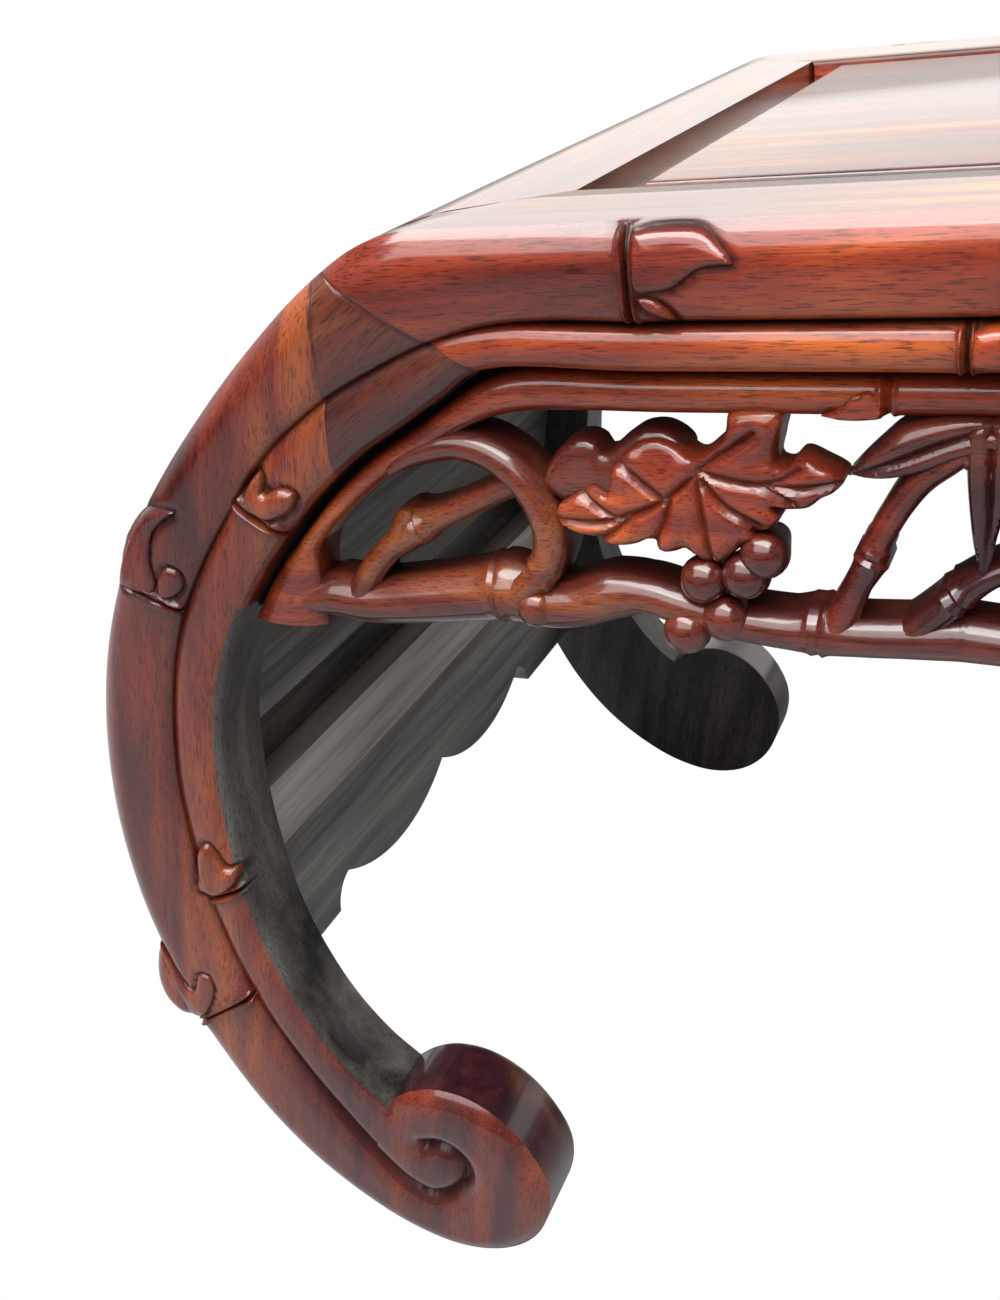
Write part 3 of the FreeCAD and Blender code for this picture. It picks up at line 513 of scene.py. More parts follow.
def fan_rows(last, shares_out):
    """Rows that turn about the scroll's eye, from the leg's last row on."""
    even = np.linspace(0, 1, len(last))[:, None]
    run = np.linalg.norm(last - last[0], axis=1)[:, None]
    run = run / run[-1]
    rows = []
    for k, out_share in enumerate(shares_out, 1):
        o = at_share(outer_line, out_share)
        i = inner_line[-1] + (np.array(EYE) - inner_line[-1]) * min(1.0, k / FAN_GATHER)
        bent = last + (o - last[0]) * (1 - run) + (i - last[-1]) * run
        ease = min(1.0, k / FAN_EASE)
        rows.append(bent * (1 - ease) + (o + (i - o) * even) * ease)
    return np.array(rows), np.ones((len(rows), len(last)), int)


def outward_swell(p):
    """How far the outer edge stands out at the buds and rings."""
    push = np.zeros(len(p))
    for centre, reach, rise in SWELLS:
        push += rise * ridge(np.linalg.norm(p - np.array(centre, float), axis=1), reach)
    return push


N_FIRST, N_SECOND = 22, 14
ROW_STEP, FAN_ROWS, FAN_GATHER, FAN_EASE = 1.1, 190, 50, 30
RING_HALF, RING_ROWS = 0.13, 24
anchors = [[share_of(line, row[k]) for row in ROWS] for k, line in enumerate(face_lines)]
number = np.arange(len(ROWS))
arm_long = (anchors[0][-1] - anchors[0][0]) * len(outer_line) * OUTER_STEP
arm_at = np.linspace(0, len(ROWS) - 1, int(arm_long / ROW_STEP))
for start, end, on in RINGS[:LEG_RINGS]:
    place, k = (start, 0) if on == 1 else (end, 2)
    at = np.interp(share_of(face_lines[k], place), anchors[k], number)
    arm_at = np.r_[arm_at, np.linspace(at - RING_HALF, at + RING_HALF, RING_ROWS)]
arm_at = np.unique(np.clip(arm_at, 0, len(ROWS) - 1))
arm_rows, arm_sides = frame_rows([np.interp(arm_at, number, anchor) for anchor in anchors])
scroll_rows, scroll_sides = fan_rows(arm_rows[-1],
                                     np.linspace(anchors[0][-1], 1.0, FAN_ROWS + 1)[1:])
SIDE_STEPS = (16.0, THICK - 1.0, THICK)
PUSHED_COLUMNS, DARK_COLUMNS, DARK_BELOW = 6, 4, 284.0


def leg_shell(rows, sides, dark_rows=0):
    """A leg or block: its carved front, plain sides and a flat back.

    The first rows have a dark inner edge where they are low enough to face the lining."""
    n, m = rows.shape[:2]
    flat = rows.reshape(-1, 2)
    depth, hollow = relief(flat, sides.ravel())
    flat = flat.copy()
    edge = np.arange(n) * m
    out = flat[edge] - flat[edge + 1]
    out /= np.maximum(np.linalg.norm(out, axis=1), 1e-6)[:, None]
    push = outward_swell(flat[edge])
    for j in range(PUSHED_COLUMNS):
        flat[edge + j] += out * (push * (1 - j / PUSHED_COLUMNS))[:, None]
    flat[:, 1] = np.maximum(flat[:, 1], 0.0)
    front = np.concatenate([flat[:, :1], depth[:, None], flat[:, 1:]], 1).reshape(n, m, 3)
    steps = []
    for column, ys in ((front[:, -1:], SIDE_STEPS), (front[:, :1], SIDE_STEPS[::-1])):
        for y in ys:
            ring = column.copy()
            ring[:, :, 1] = np.maximum(y, ring[:, :, 1])
            steps.append(ring)
    loops = np.concatenate([front] + steps, 1)
    marks = np.concatenate([hollow.reshape(n, m), np.zeros((n, len(steps)))], 1)
    # The outer side takes the third material, which is painted shade.
    shell = tube(loops, marks, [0] * m + [1] * 4 + [2] * 2)
    for i in range(dark_rows - 1):
        if rows[i, -1, 1] < DARK_BELOW:
            for j in range(m - DARK_COLUMNS, m):
                shell[3][i * loops.shape[1] + j] = 1
    return shell


BUD_SPACING, BUD_BACK, OFF_FRAME, BUD_BASE_LIMIT = 0.7, 13.0, 9.0, 7.0
# BUD_EDGE_DARK is painted shade along each bud's rounded edge.
BUD_RISE_FROM, BUD_RISE_MOST, BUD_RISE_SHARE, BUD_EDGE_DARK, BUD_EDGE_WIDE = 2.0, 3.0, 0.7, 0.75, 0.7
frame_outline = np.vstack([outer_line, inner_line[::-1]])


def bud_shell(outline, on, rise, reach):
    """A bud standing on a bead, rounded over to its edge."""
    def front(p):
        base, _ = relief(p, np.full(len(p), on), buds=False)
        base = np.where(inside(p, frame_outline), base, OFF_FRAME)
        near = distance(p, outline)
        dome = np.sqrt(np.maximum(0.0, 1 - (1 - np.clip(near / reach, 0, 1)) ** 2))
        lift = rise + BUD_RISE_SHARE * np.clip(base - BUD_RISE_FROM, 0, BUD_RISE_MOST)
        top = np.minimum(base, BUD_BASE_LIMIT) + BUD_SINK - lift * dome
        # Painted shade along the bud's edge.
        return np.clip(top, 0.0, None), BUD_EDGE_DARK * ridge(near, BUD_EDGE_WIDE)

    return patch(outline, BUD_SPACING, front, BUD_BACK)


leg_polish = wood_material("leg_wood", (0.60, 0.64, 0.9), 0.9, 0.3)
dark_inside = wood_material("inside_wood", (0.27, 0.28, 0.26), 0.15, 0.3, 0.15)
# The outer sides of legs and blocks: the same wood as their fronts, painted darker as shade.
shaded_side = wood_material("shaded_side_wood", (0.16, 0.28, 0.9), 1.0, 0.2)
leg_bud_shells = [bud_shell(*bud) for bud in bud_lines[:LEG_BUDS]]
one_leg = leg_shell(np.concatenate([arm_rows, scroll_rows]),
                    np.concatenate([arm_sides, scroll_sides]), len(arm_rows))
CORNERS = [("front_left", 1, 1), ("front_right", -1, 1), ("back_left", 1, -1),
           ("back_right", -1, -1)]
LEG_LEAN, BLOCK_LEAN = 78.0, 35.0
for corner, sx, sy in CORNERS:
    build("carved_%s_leg" % corner, [one_leg] + leg_bud_shells, [corner + "_leg"], sx, sy,
          [leg_polish, dark_inside, shaded_side], lean=LEG_LEAN)

# The spliced blocks
# A wedge of darker timber let in between each leg and the rail, cut square to the mitre.
MITRE = ((131, 390), (163, 371), (174, 362))
BLOCK_ROWS = 26
block_rows, block_sides = frame_rows([
    np.linspace(anchor[0], share_of(line, place), BLOCK_ROWS)
    for anchor, line, place in zip(anchors, face_lines, MITRE)])
dark_block = wood_material("block_wood", (0.38, 0.55, 0.95), 0.9, 0.25)
one_block = leg_shell(block_rows, block_sides)
for corner, sx, sy in CORNERS:
    build("carved_%s_block" % corner, [one_block], [corner + "_leg_block"], sx, sy,
          [dark_block, dark_inside, shaded_side], lean=BLOCK_LEAN)

# The long rails
# Each is carved as the same two beads, and carries the flat strip beside the panel behind them.
RAIL_WIDE, RAIL_UNDER = 54.0, 378.0
# The mitre with the leg starts at the top and runs on down the face, and the mitre with the end
# rail starts a little behind the front.
MITRE_START, MITRE_TOP = MITRE[0]
MITRE_RUN, MITRE_DROP = MITRE[2][0] - MITRE_START, MITRE_TOP - MITRE[2][1]
SEAM_START, SEAM_RUN = 9.2, 59.0
EVEN_ROWS, CLOSE_ROWS, CLOSE_REACH, SQUARE_FROM = 290, 26, 4.5, 85.0
BACK_EDGE = {RAIL_WIDE: 1.6, RAIL_WIDE - 0.5: 0.5}
TOP_STEPS = (RAIL_WIDE, RAIL_WIDE - 0.5, RAIL_WIDE - 1.6, 40.0, 28.0, 18.0, 12.0)
UPPER_FROM, UPPER_ABOVE, SETTLE_ROUNDS = 100, 300, 14
# The upper part of each line, in order of distance from the table's end.
upper_lines = []
for line in face_lines:
    part = line[(line[:, 0] > UPPER_FROM) & (line[:, 1] > UPPER_ABOVE)]
    upper_lines.append(part[np.argsort(part[:, 0])])


def rail_shell():
    """A whole rail, from mitre to mitre."""
    profile = [("first", 1, t) for t in eased(N_FIRST + 1)]
    profile += [("second", 2, t) for t in eased(N_SECOND + 1)[1:]]
    profile += [("low", THICK, 0), ("low", THICK, 1), ("low", RAIL_WIDE, 1)]
    profile += [("top", y, 0) for y in TOP_STEPS]
    close = [np.linspace(ring[0][0] - CLOSE_REACH, ring[0][0] + CLOSE_REACH, CLOSE_ROWS)
             for ring in RINGS[LEG_RINGS:]]
    base = np.unique(np.concatenate([np.linspace(MITRE_START, LONG / 2, EVEN_ROWS)] + close))
    square = np.maximum(0.0, 1 - (base - MITRE_START) / SQUARE_FROM)
    places, marks = [], []
    for kind, a, t in profile:
        u = base.copy()
        y = a if kind in ("low", "top") else 0.0
        seam = np.maximum(0.0, y - SEAM_START) * SEAM_RUN / (RAIL_WIDE - SEAM_START)
        for _ in range(SETTLE_ROUNDS):
            o, g, i = (np.interp(u, line[:, 0], line[:, 1]) for line in upper_lines)
            if kind == "first":
                z = o + (g - o) * t
            elif kind == "second":
                z = g + (i - g) * t
            elif kind == "low":
                z = i if t == 0 else np.full(len(u), RAIL_UNDER)
            else:
                z = o - BACK_EDGE.get(a, 0.0)
            mitre = np.maximum(0.0, MITRE_TOP - z) / MITRE_DROP * MITRE_RUN
            u = base + np.maximum(mitre, seam) * square
        if kind in ("first", "second"):
            depth, hollow = relief(np.stack([u, z], 1), np.full(len(u), a))
        else:
            depth, hollow = np.full(len(u), a), np.zeros(len(u))
        places.append(np.stack([u, depth, z], 1))
        marks.append(hollow)
    left = np.array(places).transpose(1, 0, 2)
    marks = np.array(marks).T
    right = left[::-1][1:].copy()
    right[:, :, 0] = LONG - right[:, :, 0]
    kinds = [1 if kind == "top" else 0 for kind, _, _ in profile]
    return tube(np.concatenate([left, right]), np.concatenate([marks, marks[::-1][1:]]), kinds)


polished = wood_material("polished_wood", (1.0, 1.0, 1.0), 0.9, 0.3)
flat_top = wood_material("top_wood", (0.65, 1.45, 1.7), 1.0, 0.12)
rail_bud_shells = [bud_shell(*bud) for bud in bud_lines[LEG_BUDS:]]
rail_bud_shells += [mirrored(bud, LONG / 2) for bud in rail_bud_shells]
one_rail = rail_shell()
for side, sy in (("front", 1), ("back", -1)):
    build("carved_%s_rail" % side, [one_rail] + rail_bud_shells, [side + "_rail"], 1, sy,
          [polished, flat_top])

# The pierced friezes
# Each hangs in a groove under the rail and the legs: a moulding, a knotty branch, a curl and
# twigs, a lobed vine leaf with berries, and long bamboo leaves, all undercut from one board.
# A stem's places have a width each; a leaf's are its outline, and its veins are cut into it.
MOULD_JOINTS = (281.5, 400.0)
MOULD_BUD = [(265, 349.5), (269.5, 352), (273, 355.5), (278, 356.5), (280.5, 354), (280.5, 349.5),
             (276, 348.5), (270, 348.5)]
MOULD = [(104.5, 277), (104.5, 290), (105.5, 299), (108, 305), (112, 309.5), (117, 314),
         (129, 323.5), (140, 331), (151, 337), (167, 345), (179, 348.5), (230, 349), (480, 349)]
BRANCH = [(98, 285.5, 6), (103, 285.5, 13), (109, 286, 16.5), (119, 285, 16), (143, 287.5, 17.5),
          (160, 290, 18.5), (169, 291, 21), (180, 288.5, 17), (190, 289, 15), (203, 293, 15.5),
          (212, 294, 12), (224, 291, 12), (240, 287.5, 11.5), (254, 286, 12), (262, 286, 15),
          (272, 285.5, 12.5), (285, 286, 12.5), (302, 287, 14)]
CURL = [(138, 331, 3), (143.5, 334.5, 6), (150, 337, 8.5), (159, 338.5, 9.5),
        (168, 336.5, 10), (176, 331, 10.5), (182, 323, 11), (185, 314, 11), (184.5, 306, 10.5),
        (180, 298, 9.5), (173, 292, 8.5)]
TWIG = [(118, 288, 10), (124, 297, 8), (131, 304, 8), (137, 308, 9), (143, 312, 10.5),
        (147, 314, 8.5), (154, 317, 7), (163, 321, 7), (171, 325, 7.5), (180, 328, 6)]
STUB = [(134, 306, 8), (137.5, 311, 9.5), (139.5, 314.5, 9), (141, 316.8, 5), (141.5, 317.8, 1.5)]
CANE = [(266, 285, 10), (270.5, 295, 8.4), (273.5, 302, 7.4), (277, 309, 8.6), (278.5, 314, 7),
        (281, 319, 7), (285, 326, 7.2), (290, 332.5, 7.5), (296, 337, 7), (303, 342, 6)]
FORK = [(282, 284, 9), (289, 289.5, 8.5), (296, 296, 8), (302, 302, 7.5), (308, 306.5, 6.5),
        (316, 309.5, 6), (324, 309, 5)]
LEAF = [(190.5, 322.5), (195.5, 325.5), (200.5, 328), (205, 326), (206, 331), (208.5, 335),
        (212, 339), (216.5, 341.5), (221, 342), (226, 340), (231, 337), (235.5, 340),
        (239.5, 344), (241, 350), (254.5, 350), (253.5, 342), (252.5, 336), (255.5, 335),
        (259, 338), (264.5, 336), (270.5, 332), (267.5, 328.5), (264.5, 327), (261.5, 324.5),
        (256, 323.5), (251.5, 324), (253.5, 321), (251.5, 318.5), (248.5, 317), (245.5, 317.5),
        (246.5, 315), (243, 312.5), (239, 309), (234, 306.5), (230.5, 308.5), (226.5, 310.5),
        (223, 309.5), (219, 310), (216.5, 313), (211, 311), (204.5, 311), (199.5, 313),
        (193.5, 314.5), (188.5, 318)]
BACK_LEAF = [(186.5, 332.5), (189.5, 336.5), (193, 339.5), (198, 341), (202, 339.5), (204, 336.5),
             (209, 340), (215, 343.5), (222, 343.5), (228, 338), (214, 322), (199, 320),
             (189, 322.5), (184.5, 326.5)]
LEAF_VEINS = [((231, 334), (232, 322.5), (234, 307.5)),
              ((231.5, 334), (240.5, 331.5), (249, 330.5), (259.5, 330), (269.5, 331.5)),
              ((249, 330.5), (254.5, 332), (259.5, 335)), ((249.5, 330), (257, 325.5)),
              ((233, 331), (238.5, 324.5), (247.5, 319)),
              ((232.5, 334.5), (238.5, 338.5), (247.5, 344.5)),
              ((230, 331.5), (221, 324.5), (212, 320.5), (202.5, 318), (189.5, 318)),
              ((221.5, 325.5), (215.5, 330.5), (209.5, 335.5)),
              ((207, 319.5), (202.5, 322.5), (198.5, 326)),
              ((223.5, 325), (221, 317.5), (217.5, 312)),
              ((212.5, 320.5), (207, 315.5), (201, 312.5))]
LONG_BLADE = [(271, 333), (274.5, 337), (279.5, 342), (284, 346), (291, 348.5),
              (300, 349.5), (308, 348.5), (312, 346), (309, 342.5), (303.5, 340), (297.5, 338),
              (290.5, 335), (281, 333)]
DROP_BLADE = [(301, 346), (304, 348), (309, 348), (311.5, 344), (312, 336), (310.5, 326),
              (308.5, 317), (306, 305.5), (303.5, 315), (302, 325), (301, 336)]
BERRIES = [(231, 301), (243, 303), (236.6, 289.5), (225, 284.5), (248.5, 309.5)]
LONG_VEIN = [((269, 332), (285, 338.5), (297, 343.5), (309, 347))]
DROP_VEIN = [((306.5, 350), (306.8, 325), (305.8, 304))]
BRANCH_BUD, BRANCH_BUD_RADIUS = (178.5, 288.5), 6.2
MOTIF_MIDDLE, BLADE_MIDDLE = 300.0, 306.5
FRIEZE_FRONT, FRIEZE_BACK, FRIEZE_NEAREST = 11.0, 28.0, 10.0
STEP_PAST_RAIL, STEP_BACK, STEP_FRONT, MOULD_CROWN = 2.3, 21.0, 20.0, 3.6
BERRY_MIDDLE, BERRY_RADIUS, BERRY_NECK = 15.0, 7.0, 0.6
VEIN_DEEP, VEIN_WIDE, VEIN_SWELL, VEIN_AWAY, VEIN_SWELL_WIDE = 1.4, 1.1, 1.1, 3.5, 2.6
# VEIN_DARK, LEAF_EDGE_DARK over DARK_WIDE, and STEM_DARK and MOULD_DARK below, are painted shade in
# the veins and along the edges of leaves, stems and the moulding.
VEIN_DARK, LEAF_EDGE_DARK, DARK_WIDE = 0.5, 0.35, 0.9
RING_LIP, RING_LIP_WIDE, RING_CUT, RING_CUT_WIDE, LIP_FROM_CUT = 1.1, 0.8, 1.6, 0.7, 1.6
KNOT_LIP, KNOT_LIP_WIDE, KNOT_CUT, KNOT_CUT_WIDE, KNOT_SWELL, KNOT_REACH = 0.9, 1.0, 1.2, 0.8, 0.8, 5.0
KNOT_WIDER, KNOT_RISE, STEM_ROUND, STEM_DARK, MOULD_DARK = 0.45, 0.8, 0.85, 0.45, 0.5


def heading(line):
    """The direction of a line at each of its points."""
    along = np.gradient(line, axis=0)
    return along / np.linalg.norm(along, axis=1)[:, None]


def ribbon(left, right, knots):
    """The moulding between two lines: a rebate, then a rounded front with ringed joints."""
    t = eased(11)
    loops, marks = [], []
    for a, b in zip(left, right):
        start = a + (b - a) * STEP_PAST_RAIL / np.linalg.norm(b - a)
        flat = start + (b - start) * t[:, None]
        y = FRIEZE_FRONT + MOULD_CROWN * np.abs(2 * t - 1) ** 2.5
        for knot in knots:
            d = abs(b[0] - knot)
            y = y - RING_LIP * ridge(d - LIP_FROM_CUT, RING_LIP_WIDE)
            y = y + RING_CUT * ridge(d, RING_CUT_WIDE)
        loop = [(a[0], STEP_BACK, a[1]), (start[0], STEP_FRONT, start[1])]
        loop += [(p[0], d, p[1]) for p, d in zip(flat, y)]
        loop += [(b[0], FRIEZE_BACK, b[1]), (a[0], FRIEZE_BACK, a[1])]
        loops.append(loop)
        # Painted shade: full in the rebate beside the rail, along the front's two edges and on the
        # back.
        rim = MOULD_DARK * np.abs(2 * t - 1) ** 6
        marks.append(np.concatenate([[1.0, 1.0], rim, [BACK_SHADE] * 2]))
    return tube(loops, marks)


def stem(points, front_y=FRIEZE_FRONT, knots=()):
    """A rounded stem along a line, swelling to a ridge at each of its knots."""
    line = smooth_line([p[:2] for p in points], 1.2)
    marks = [share_of(line, p[:2]) for p in points]
    wide = np.interp(np.linspace(0, 1, len(line)), marks, [p[2] for p in points]) / 2
    lift = np.zeros(len(line))
    for knot in knots:
        d = np.linalg.norm(line - np.array(knot, float), axis=1)
        swell = KNOT_LIP * ridge(d - LIP_FROM_CUT, KNOT_LIP_WIDE)
        swell = swell + KNOT_SWELL * np.exp(-d / KNOT_REACH) - KNOT_CUT * ridge(d, KNOT_CUT_WIDE)
        wide = wide + KNOT_WIDER * swell
        lift = lift + swell
    along = heading(line)
    off = np.stack([-along[:, 1], along[:, 0]], 1) * wide[:, None]
    t = np.cos(np.linspace(0, math.pi, 11))
    loops, marks = [], []
    for k in range(len(line)):
        y = front_y + STEM_ROUND * wide[k] * np.abs(t) ** 2.2 - max(lift[k], 0) * KNOT_RISE
        flat = line[k] + off[k] * t[:, None]
        loop = [(p[0], max(d, FRIEZE_NEAREST), p[1]) for p, d in zip(flat, y)]
        loop += [(flat[-1][0], FRIEZE_BACK, flat[-1][1]), (flat[0][0], FRIEZE_BACK, flat[0][1])]
        loops.append(loop)
        # Painted shade along the stem's sides and on its back.
        marks.append(np.concatenate([STEM_DARK * np.abs(t) ** 6, [BACK_SHADE] * 2]))
    return tube(loops, marks)


def closed_line(points, step):
    """A smooth closed outline through the given points."""
    return smooth_line(points + points[:1], step)[:-1]


def leaf(outline, veins, spacing, front_y, rise, reach, back):
    """A leaf: rounded to its edge, with cut veins."""
    def front(p):
        near = distance(p, outline)
        depth = front_y + round_off(near, reach, rise)
        # Painted shade along the leaf's edge.
        hollow = LEAF_EDGE_DARK * ridge(near, DARK_WIDE)
        nearest = np.full(len(p), 20.0)
        for vein in veins:
            nearest = np.minimum(nearest, distance(p, smooth_line(vein, 2.0)))
        depth = depth + VEIN_DEEP * ridge(nearest, VEIN_WIDE)
        depth = depth - VEIN_SWELL * ridge(nearest - VEIN_AWAY, VEIN_SWELL_WIDE)
        # Painted shade in the cut veins.
        hollow = np.maximum(hollow, VEIN_DARK * ridge(nearest, DARK_WIDE))
        return np.clip(depth, FRIEZE_NEAREST, None), hollow

    return patch(outline, spacing, front, back, veins)


def toned(shell, kind):
    """The same shell in another of its piece's materials."""
    return shell[:3] + ([kind] * len(shell[3]),)


def berry(centre, radius=BERRY_RADIUS):
    """A round berry with a short neck behind it."""
    rings = [(radius * math.sin(a), BERRY_MIDDLE - radius * math.cos(a))
             for a in np.radians(np.linspace(2, 100, 12))] + [(radius * BERRY_NECK, FRIEZE_BACK)]
    turn = np.linspace(0, 2 * math.pi, 25)[:-1]
    loops = [[(centre[0] + r * math.cos(a), y, centre[1] + r * math.sin(a)) for a in turn]
             for r, y in rings]
    marks = np.zeros((len(loops), len(turn)))
    # Painted shade round the berry's side and on its neck behind.
    marks[9:] = 0.7
    return tube(loops, marks)


def across_from(p, direction, line):
    """The point of a line that lies most squarely across from a place."""
    away = line - p
    far = np.linalg.norm(away, axis=1)
    turned_off = np.abs(away @ direction) / np.maximum(far, 1e-6)
    return line[np.argmin(turned_off + (far > 40) * 9)]


MOULD_ROWS, JOINT_SPAN, JOINT_ROWS, MOULD_EASE, MOULD_GAP = 300, 0.012, 24, 30, 0.015
inner_part = inner_line[inner_line[:, 1] > 277]
mould_line = smooth_line(MOULD, 1.5)[::-1]
share = np.linspace(0, 1, MOULD_ROWS)
even_u = at_share(mould_line, share)[:, 0]
crossing = [share[np.argmin(np.abs(even_u - knot))] for knot in MOULD_JOINTS]
share = np.unique(np.concatenate(
    [share] + [np.linspace(c - JOINT_SPAN, c + JOINT_SPAN, JOINT_ROWS) for c in crossing]))
mould_right = at_share(mould_line, share)
mould_left = np.array([across_from(p, d, inner_part)
                       for p, d in zip(mould_right, heading(mould_right))])
for _ in range(MOULD_EASE):
    mould_left[1:-1] = (mould_left[:-2] + mould_left[1:-1] * 2 + mould_left[2:]) / 4
mould_left = mould_left + (mould_right - mould_left) * MOULD_GAP
moulding = ribbon(mould_left, mould_right, MOULD_JOINTS)
mould_bud = leaf(closed_line(MOULD_BUD, 1.0), [], 0.8, 9.0, 3.0, 4.5, 20.0)

# A leaf's numbers are its net's spacing, its front, how far it falls to its edge, from how far
# in, and its back.
darker = [
    stem(BRANCH, knots=[(166, 291), (262, 286)]),
    stem(CURL, front_y=10.5, knots=[(181, 300)]),
    stem(TWIG, front_y=12.0, knots=[(143, 312)]),
    stem(STUB, front_y=12.5),
    leaf(closed_line(BACK_LEAF, 1.5), [], 1.2, 14.0, 3.0, 6.0, 26.0),
    berry(BRANCH_BUD, BRANCH_BUD_RADIUS),
] + [berry(centre) for centre in BERRIES]
motif = [toned(shell, 1) for shell in darker] + [
    stem(CANE, front_y=11.5, knots=[(277.5, 310.5)]),
    leaf(closed_line(LEAF, 1.0), LEAF_VEINS, 0.8, 11.0, 3.0, 5.0, 24.0)]
fork = toned(stem(FORK, front_y=12.0, knots=[(299, 299)]), 1)
long_blade = toned(leaf(closed_line(LONG_BLADE, 1.5), LONG_VEIN, 0.8, 11.0, 3.0, 5.0, 24.0), 1)
drop_blade = toned(leaf(closed_line(DROP_BLADE, 1.5), DROP_VEIN, 0.8, 10.5, 2.5, 4.0, 20.0), 1)
half = motif + [mirrored(shell, MOTIF_MIDDLE) for shell in motif] + [
    moulding, mould_bud, fork, long_blade, mirrored(long_blade, BLADE_MIDDLE), drop_blade]
dark_carving = wood_material("carving_wood", (0.5, 0.6, 0.9), 1.0, 0.25)
for side, sy in (("front", 1), ("back", -1)):
    build("carved_%s_frieze" % side, half + [mirrored(shell, LONG / 2) for shell in half],
          [side + "_frieze"], 1, sy, [polished, dark_carving])

# The rolled ends
# Each end rail is a thick board that bends down over the legs, mitred to the long rails. Below it
# a thinner board, bent to the same curve, closes the end between the legs.
END_RAIL_LOW, END_RAIL_THICK, END_RAIL_REACH = 360.5, 22.0, 190.0
END_BOARD_HIGH, END_BOARD_LOW, END_BOARD_INSET, END_BOARD_THICK = 360.0, 160.0, 3.0, 11.0
ACROSS_POINTS = 7
end_part = outer_line[(outer_line[:, 0] <= 200) & (outer_line[:, 1] >= 150)]
run_along = heading(end_part)
into = np.stack([-run_along[:, 1], run_along[:, 0]], 1)


def bent_board(high, low, reach, inset, thick, near, slope=0.0):
    """A board bent to the curve of the table's end, with its ends cut to a slope."""
    pick = (end_part[:, 1] <= high) & (end_part[:, 1] >= low) & (end_part[:, 0] <= reach)
    outside = end_part[pick] + into[pick] * inset
    within = end_part[pick] + into[pick] * (inset + thick)
    loops = []
    for a, b in zip(outside, within):
        start = near + max(0.0, a[0] - MITRE_START) * slope
        ys = np.linspace(start, DEEP - start, ACROSS_POINTS)
        loops.append([(a[0], y, a[1]) for y in ys] + [(b[0], y, b[1]) for y in ys[::-1]])
    kinds = [0] * ACROSS_POINTS + [1] * (ACROSS_POINTS - 1) + [0]
    return tube(loops, kinds=kinds)


end_rail = bent_board(HIGH, END_RAIL_LOW, END_RAIL_REACH, 0.0, END_RAIL_THICK, SEAM_START,
                      (RAIL_WIDE - SEAM_START) / SEAM_RUN)
end_board = bent_board(END_BOARD_HIGH, END_BOARD_LOW, LONG, END_BOARD_INSET, END_BOARD_THICK,
                       THICK)
for side, sx in (("left", 1), ("right", -1)):
    build("rolled_%s_end" % side, [end_rail], ["%s_end_rail" % side], sx, 1,
          [flat_top, dark_inside], lean=90)
    build("curved_%s_board" % side, [end_board], ["%s_end_board" % side], sx, 1,
          [polished, dark_inside], lean=90)

# The panel
# One wide board, let into grooves in the four rails. Its middle is raised almost to their height
# over a sunk margin, and the edge of the raised field is rounded over.
TONGUE, TONGUE_THICK, MARGIN, MARGIN_TOP, FIELD_TOP = 7.0, 6.0, 22.0, 392.0, 399.0
FIELD_ROUND, FIELD_STEPS = 2.2, 3
low, high = (np.array(corner) * 1000 + (LONG / 2, DEEP / 2, 0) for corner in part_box("top_panel"))
board = bmesh.new()
tongue_top = low[2] + TONGUE_THICK
middle = (low + high) / 2
bmesh.ops.create_cube(board, size=1.0, matrix=Matrix.Translation(
    (middle[0], middle[1], (low[2] + tongue_top) / 2)) @ Matrix.Diagonal(
    (high[0] - low[0], high[1] - low[1], tongue_top - low[2], 1.0)))
top = max(board.faces, key=lambda f: f.calc_center_median().z)
for inward, height in ((TONGUE, MARGIN_TOP), (MARGIN, FIELD_TOP)):
    bmesh.ops.inset_region(board, faces=[top], thickness=inward)
    top = bmesh.ops.extrude_discrete_faces(board, faces=[top])["faces"][0]
    bmesh.ops.translate(board, verts=top.verts, vec=(0, 0, height - top.verts[0].co.z))
bmesh.ops.bevel(board, geom=list(top.edges), offset=FIELD_ROUND, segments=FIELD_STEPS,
                profile=0.5, affect="EDGES", material=-1)
board.verts.index_update()
panel = (np.array([tuple(v.co) for v in board.verts]),
         [[v.index for v in f.verts] for f in board.faces], np.zeros(len(board.verts)),
         [0] * len(board.faces))
board.free()
build("raised_top_panel", [panel], ["top_panel"], 1, 1, [flat_top])

# The plain inner pieces
# Linings, rough sawn strips, scalloped aprons and bearers are bare wood that has greyed or
# darkened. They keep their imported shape, and a fibre runs along each of them from face to face.
RAW = ((0.055, 0.053, 0.047), (0.150, 0.147, 0.135), (0.29, 0.28, 0.26))
AGED = ((0.09, 0.088, 0.08), (0.25, 0.247, 0.232), (0.46, 0.45, 0.42))
SAWN = ((0.20, 0.18, 0.16), (0.46, 0.42, 0.38), (0.74, 0.69, 0.63))
FIBRE_SCALE, BARE_ROUGHNESS = (90.0, 4.0, 90.0), 0.7


def bare_wood(name, colours):
    """Unfinished wood from its dark, middle and light fibres."""
    made, tree = new_material(name)
    shader = tree.nodes["Principled BSDF"]
    spot = add(tree, "ShaderNodeTexCoord")
    fibre = noise(tree, spot.outputs["Object"], FIBRE_SCALE, 5.0, 0.65)
    tree.links.new(ramp(tree, fibre, list(zip((0.3, 0.5, 0.7), colours))),
                   shader.inputs["Base Color"])
    shader.inputs["Roughness"].default_value = BARE_ROUGHNESS
    return made


aged = bare_wood("aged_wood", AGED)
BARE_PIECES = (("lining", bare_wood("raw_wood", RAW)), ("apron", aged), ("bearer", aged),
               ("stretcher", bare_wood("sawn_wood", SAWN)))
for name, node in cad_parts.items():
    for word, look in BARE_PIECES:
        if word in name:
            node.data.materials.clear()
            node.data.materials.append(look)

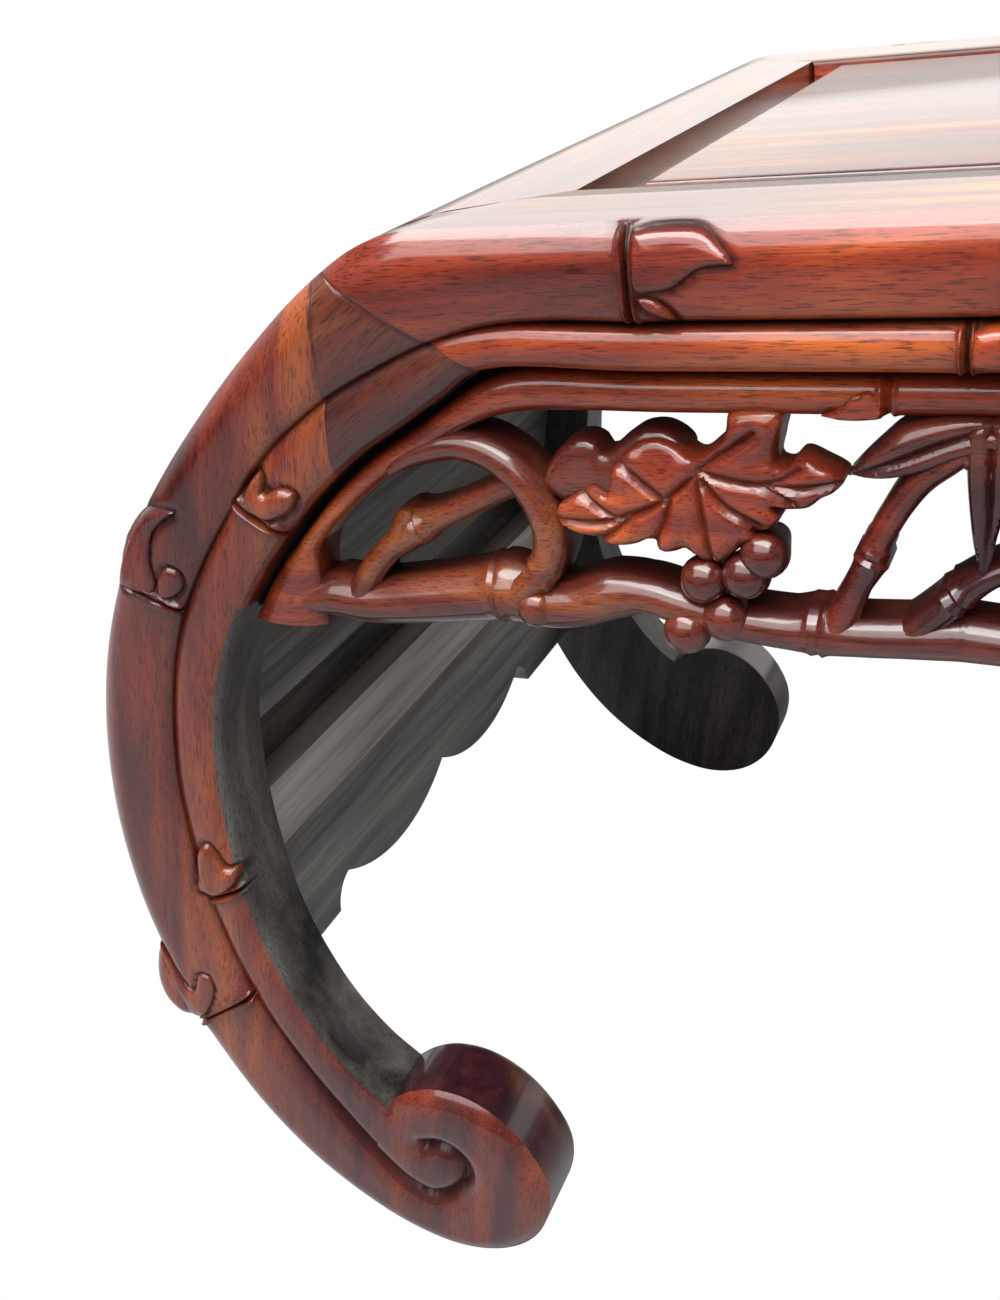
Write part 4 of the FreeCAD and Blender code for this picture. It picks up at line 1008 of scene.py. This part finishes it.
# The room
# The table stands on white, as in the photograph: floor and world are white to the camera. To all
# else the world is bright low down behind the table and dark overhead, round a broad soft lamp.
YAW, PITCH, ROLL = 0.4403, 0.4886, -0.1243
CAMERA_PLACE = (-0.14007, -0.52708, 0.46369)
SENSOR, PICTURE_HIGH, FOCAL_PIXELS = 36.0, 1300.0, 1393.2
camera = bpy.data.cameras.new("camera")
camera_object = new_object("camera", camera)
bpy.context.scene.camera = camera_object
ahead = Vector((-math.sin(YAW) * math.cos(PITCH), math.cos(YAW) * math.cos(PITCH),
                -math.sin(PITCH)))
level = Vector((math.cos(YAW), math.sin(YAW), 0))
upward = level.cross(ahead)
right_axis = level * math.cos(ROLL) + upward * math.sin(ROLL)
up_axis = upward * math.cos(ROLL) - level * math.sin(ROLL)
turned = Matrix((right_axis, up_axis, -ahead)).transposed().to_4x4()
camera_object.matrix_world = Matrix.Translation(CAMERA_PLACE) @ turned
camera.sensor_width = SENSOR
camera.lens = FOCAL_PIXELS * SENSOR / PICTURE_HIGH
camera.shift_x = -0.0385
camera.shift_y = 0.0224
camera.clip_start = 0.02

world = bpy.data.worlds.new("room")
bpy.context.scene.world = world
world.use_nodes = True
sky = world.node_tree
sky.nodes.clear()
direction = add(sky, "ShaderNodeTexCoord")
parts = add(sky, "ShaderNodeSeparateXYZ", {"Vector": direction.outputs["Generated"]})
SKY = [(0.0, (0.22, 0.20, 0.19)), (0.06, (0.9, 0.87, 0.85)), (0.42, (1.0, 0.98, 0.97)),
       (0.60, (0.2, 0.2, 0.21))]
overhead = ramp(sky, parts.outputs["Z"], SKY)
behind = add(sky, "ShaderNodeMapRange", {"Value": parts.outputs["Y"]},
             values={"From Min": -0.3, "From Max": 0.8, "To Min": 0.24, "To Max": 1.4})
shone = add(sky, "ShaderNodeVectorMath", {0: overhead, "Scale": behind.outputs[0]},
            operation="SCALE")
sky_seen = add(sky, "ShaderNodeLightPath")
either = add(sky, "ShaderNodeMix", {0: sky_seen.outputs["Is Camera Ray"], 6: shone.outputs[0]},
             values={7: (1.0, 1.0, 1.0, 1.0)}, data_type="RGBA")
sky_light = add(sky, "ShaderNodeBackground", {"Color": either.outputs[2]})
add(sky, "ShaderNodeOutputWorld", {"Surface": sky_light.outputs[0]})

FLOOR_REACH, FLOOR_LEVEL, FLOOR_COLOUR = 3.0, -0.0005, (0.28, 0.28, 0.29, 1.0)
floor_mesh = bpy.data.meshes.new("floor")
floor_mesh.from_pydata([(x * FLOOR_REACH, y * FLOOR_REACH, FLOOR_LEVEL)
                        for x, y in ((-1, -1), (1, -1), (1, 1), (-1, 1))], [], [(0, 1, 2, 3)])
floor = new_object("floor", floor_mesh)
floor_look, floor_tree = new_material("floor")
floor_tree.nodes.clear()
floor_seen = add(floor_tree, "ShaderNodeLightPath")
floor_dull = add(floor_tree, "ShaderNodeBsdfDiffuse", values={"Color": FLOOR_COLOUR})
floor_white = add(floor_tree, "ShaderNodeEmission")
floor_mix = add(floor_tree, "ShaderNodeMixShader",
                {0: floor_seen.outputs["Is Camera Ray"], 1: floor_dull.outputs[0],
                 2: floor_white.outputs[0]})
add(floor_tree, "ShaderNodeOutputMaterial", {"Surface": floor_mix.outputs[0]})
floor_mesh.materials.append(floor_look)


def lamp(name, place, aim, size, power, colour=(1.0, 1.0, 1.0)):
    """A soft lamp of a width and a depth."""
    light = bpy.data.lights.new(name, "AREA")
    light.shape = "RECTANGLE"
    light.size, light.size_y = size
    light.energy = power
    light.color = colour
    holder = new_object(name, light)
    holder.location = place
    holder.rotation_mode = "QUATERNION"
    holder.rotation_quaternion = (Vector(aim) - Vector(place)).to_track_quat("-Z", "Y")


lamp("ceiling", (-0.4, -0.55, 2.0), (-0.3, -0.2, 0.4), (2.4, 1.0), 82)
lamp("front_high", (-0.4, -1.38, 1.61), (-0.3, -0.2, 0.35), (2.4, 1.1), 32)
lamp("front_fill", (-1.2, -2.0, 1.2), (-0.3, -0.2, 0.2), (2.6, 2.6), 2.5, (1.0, 0.96, 0.92))

bpy.context.scene.view_settings.view_transform = "Standard"
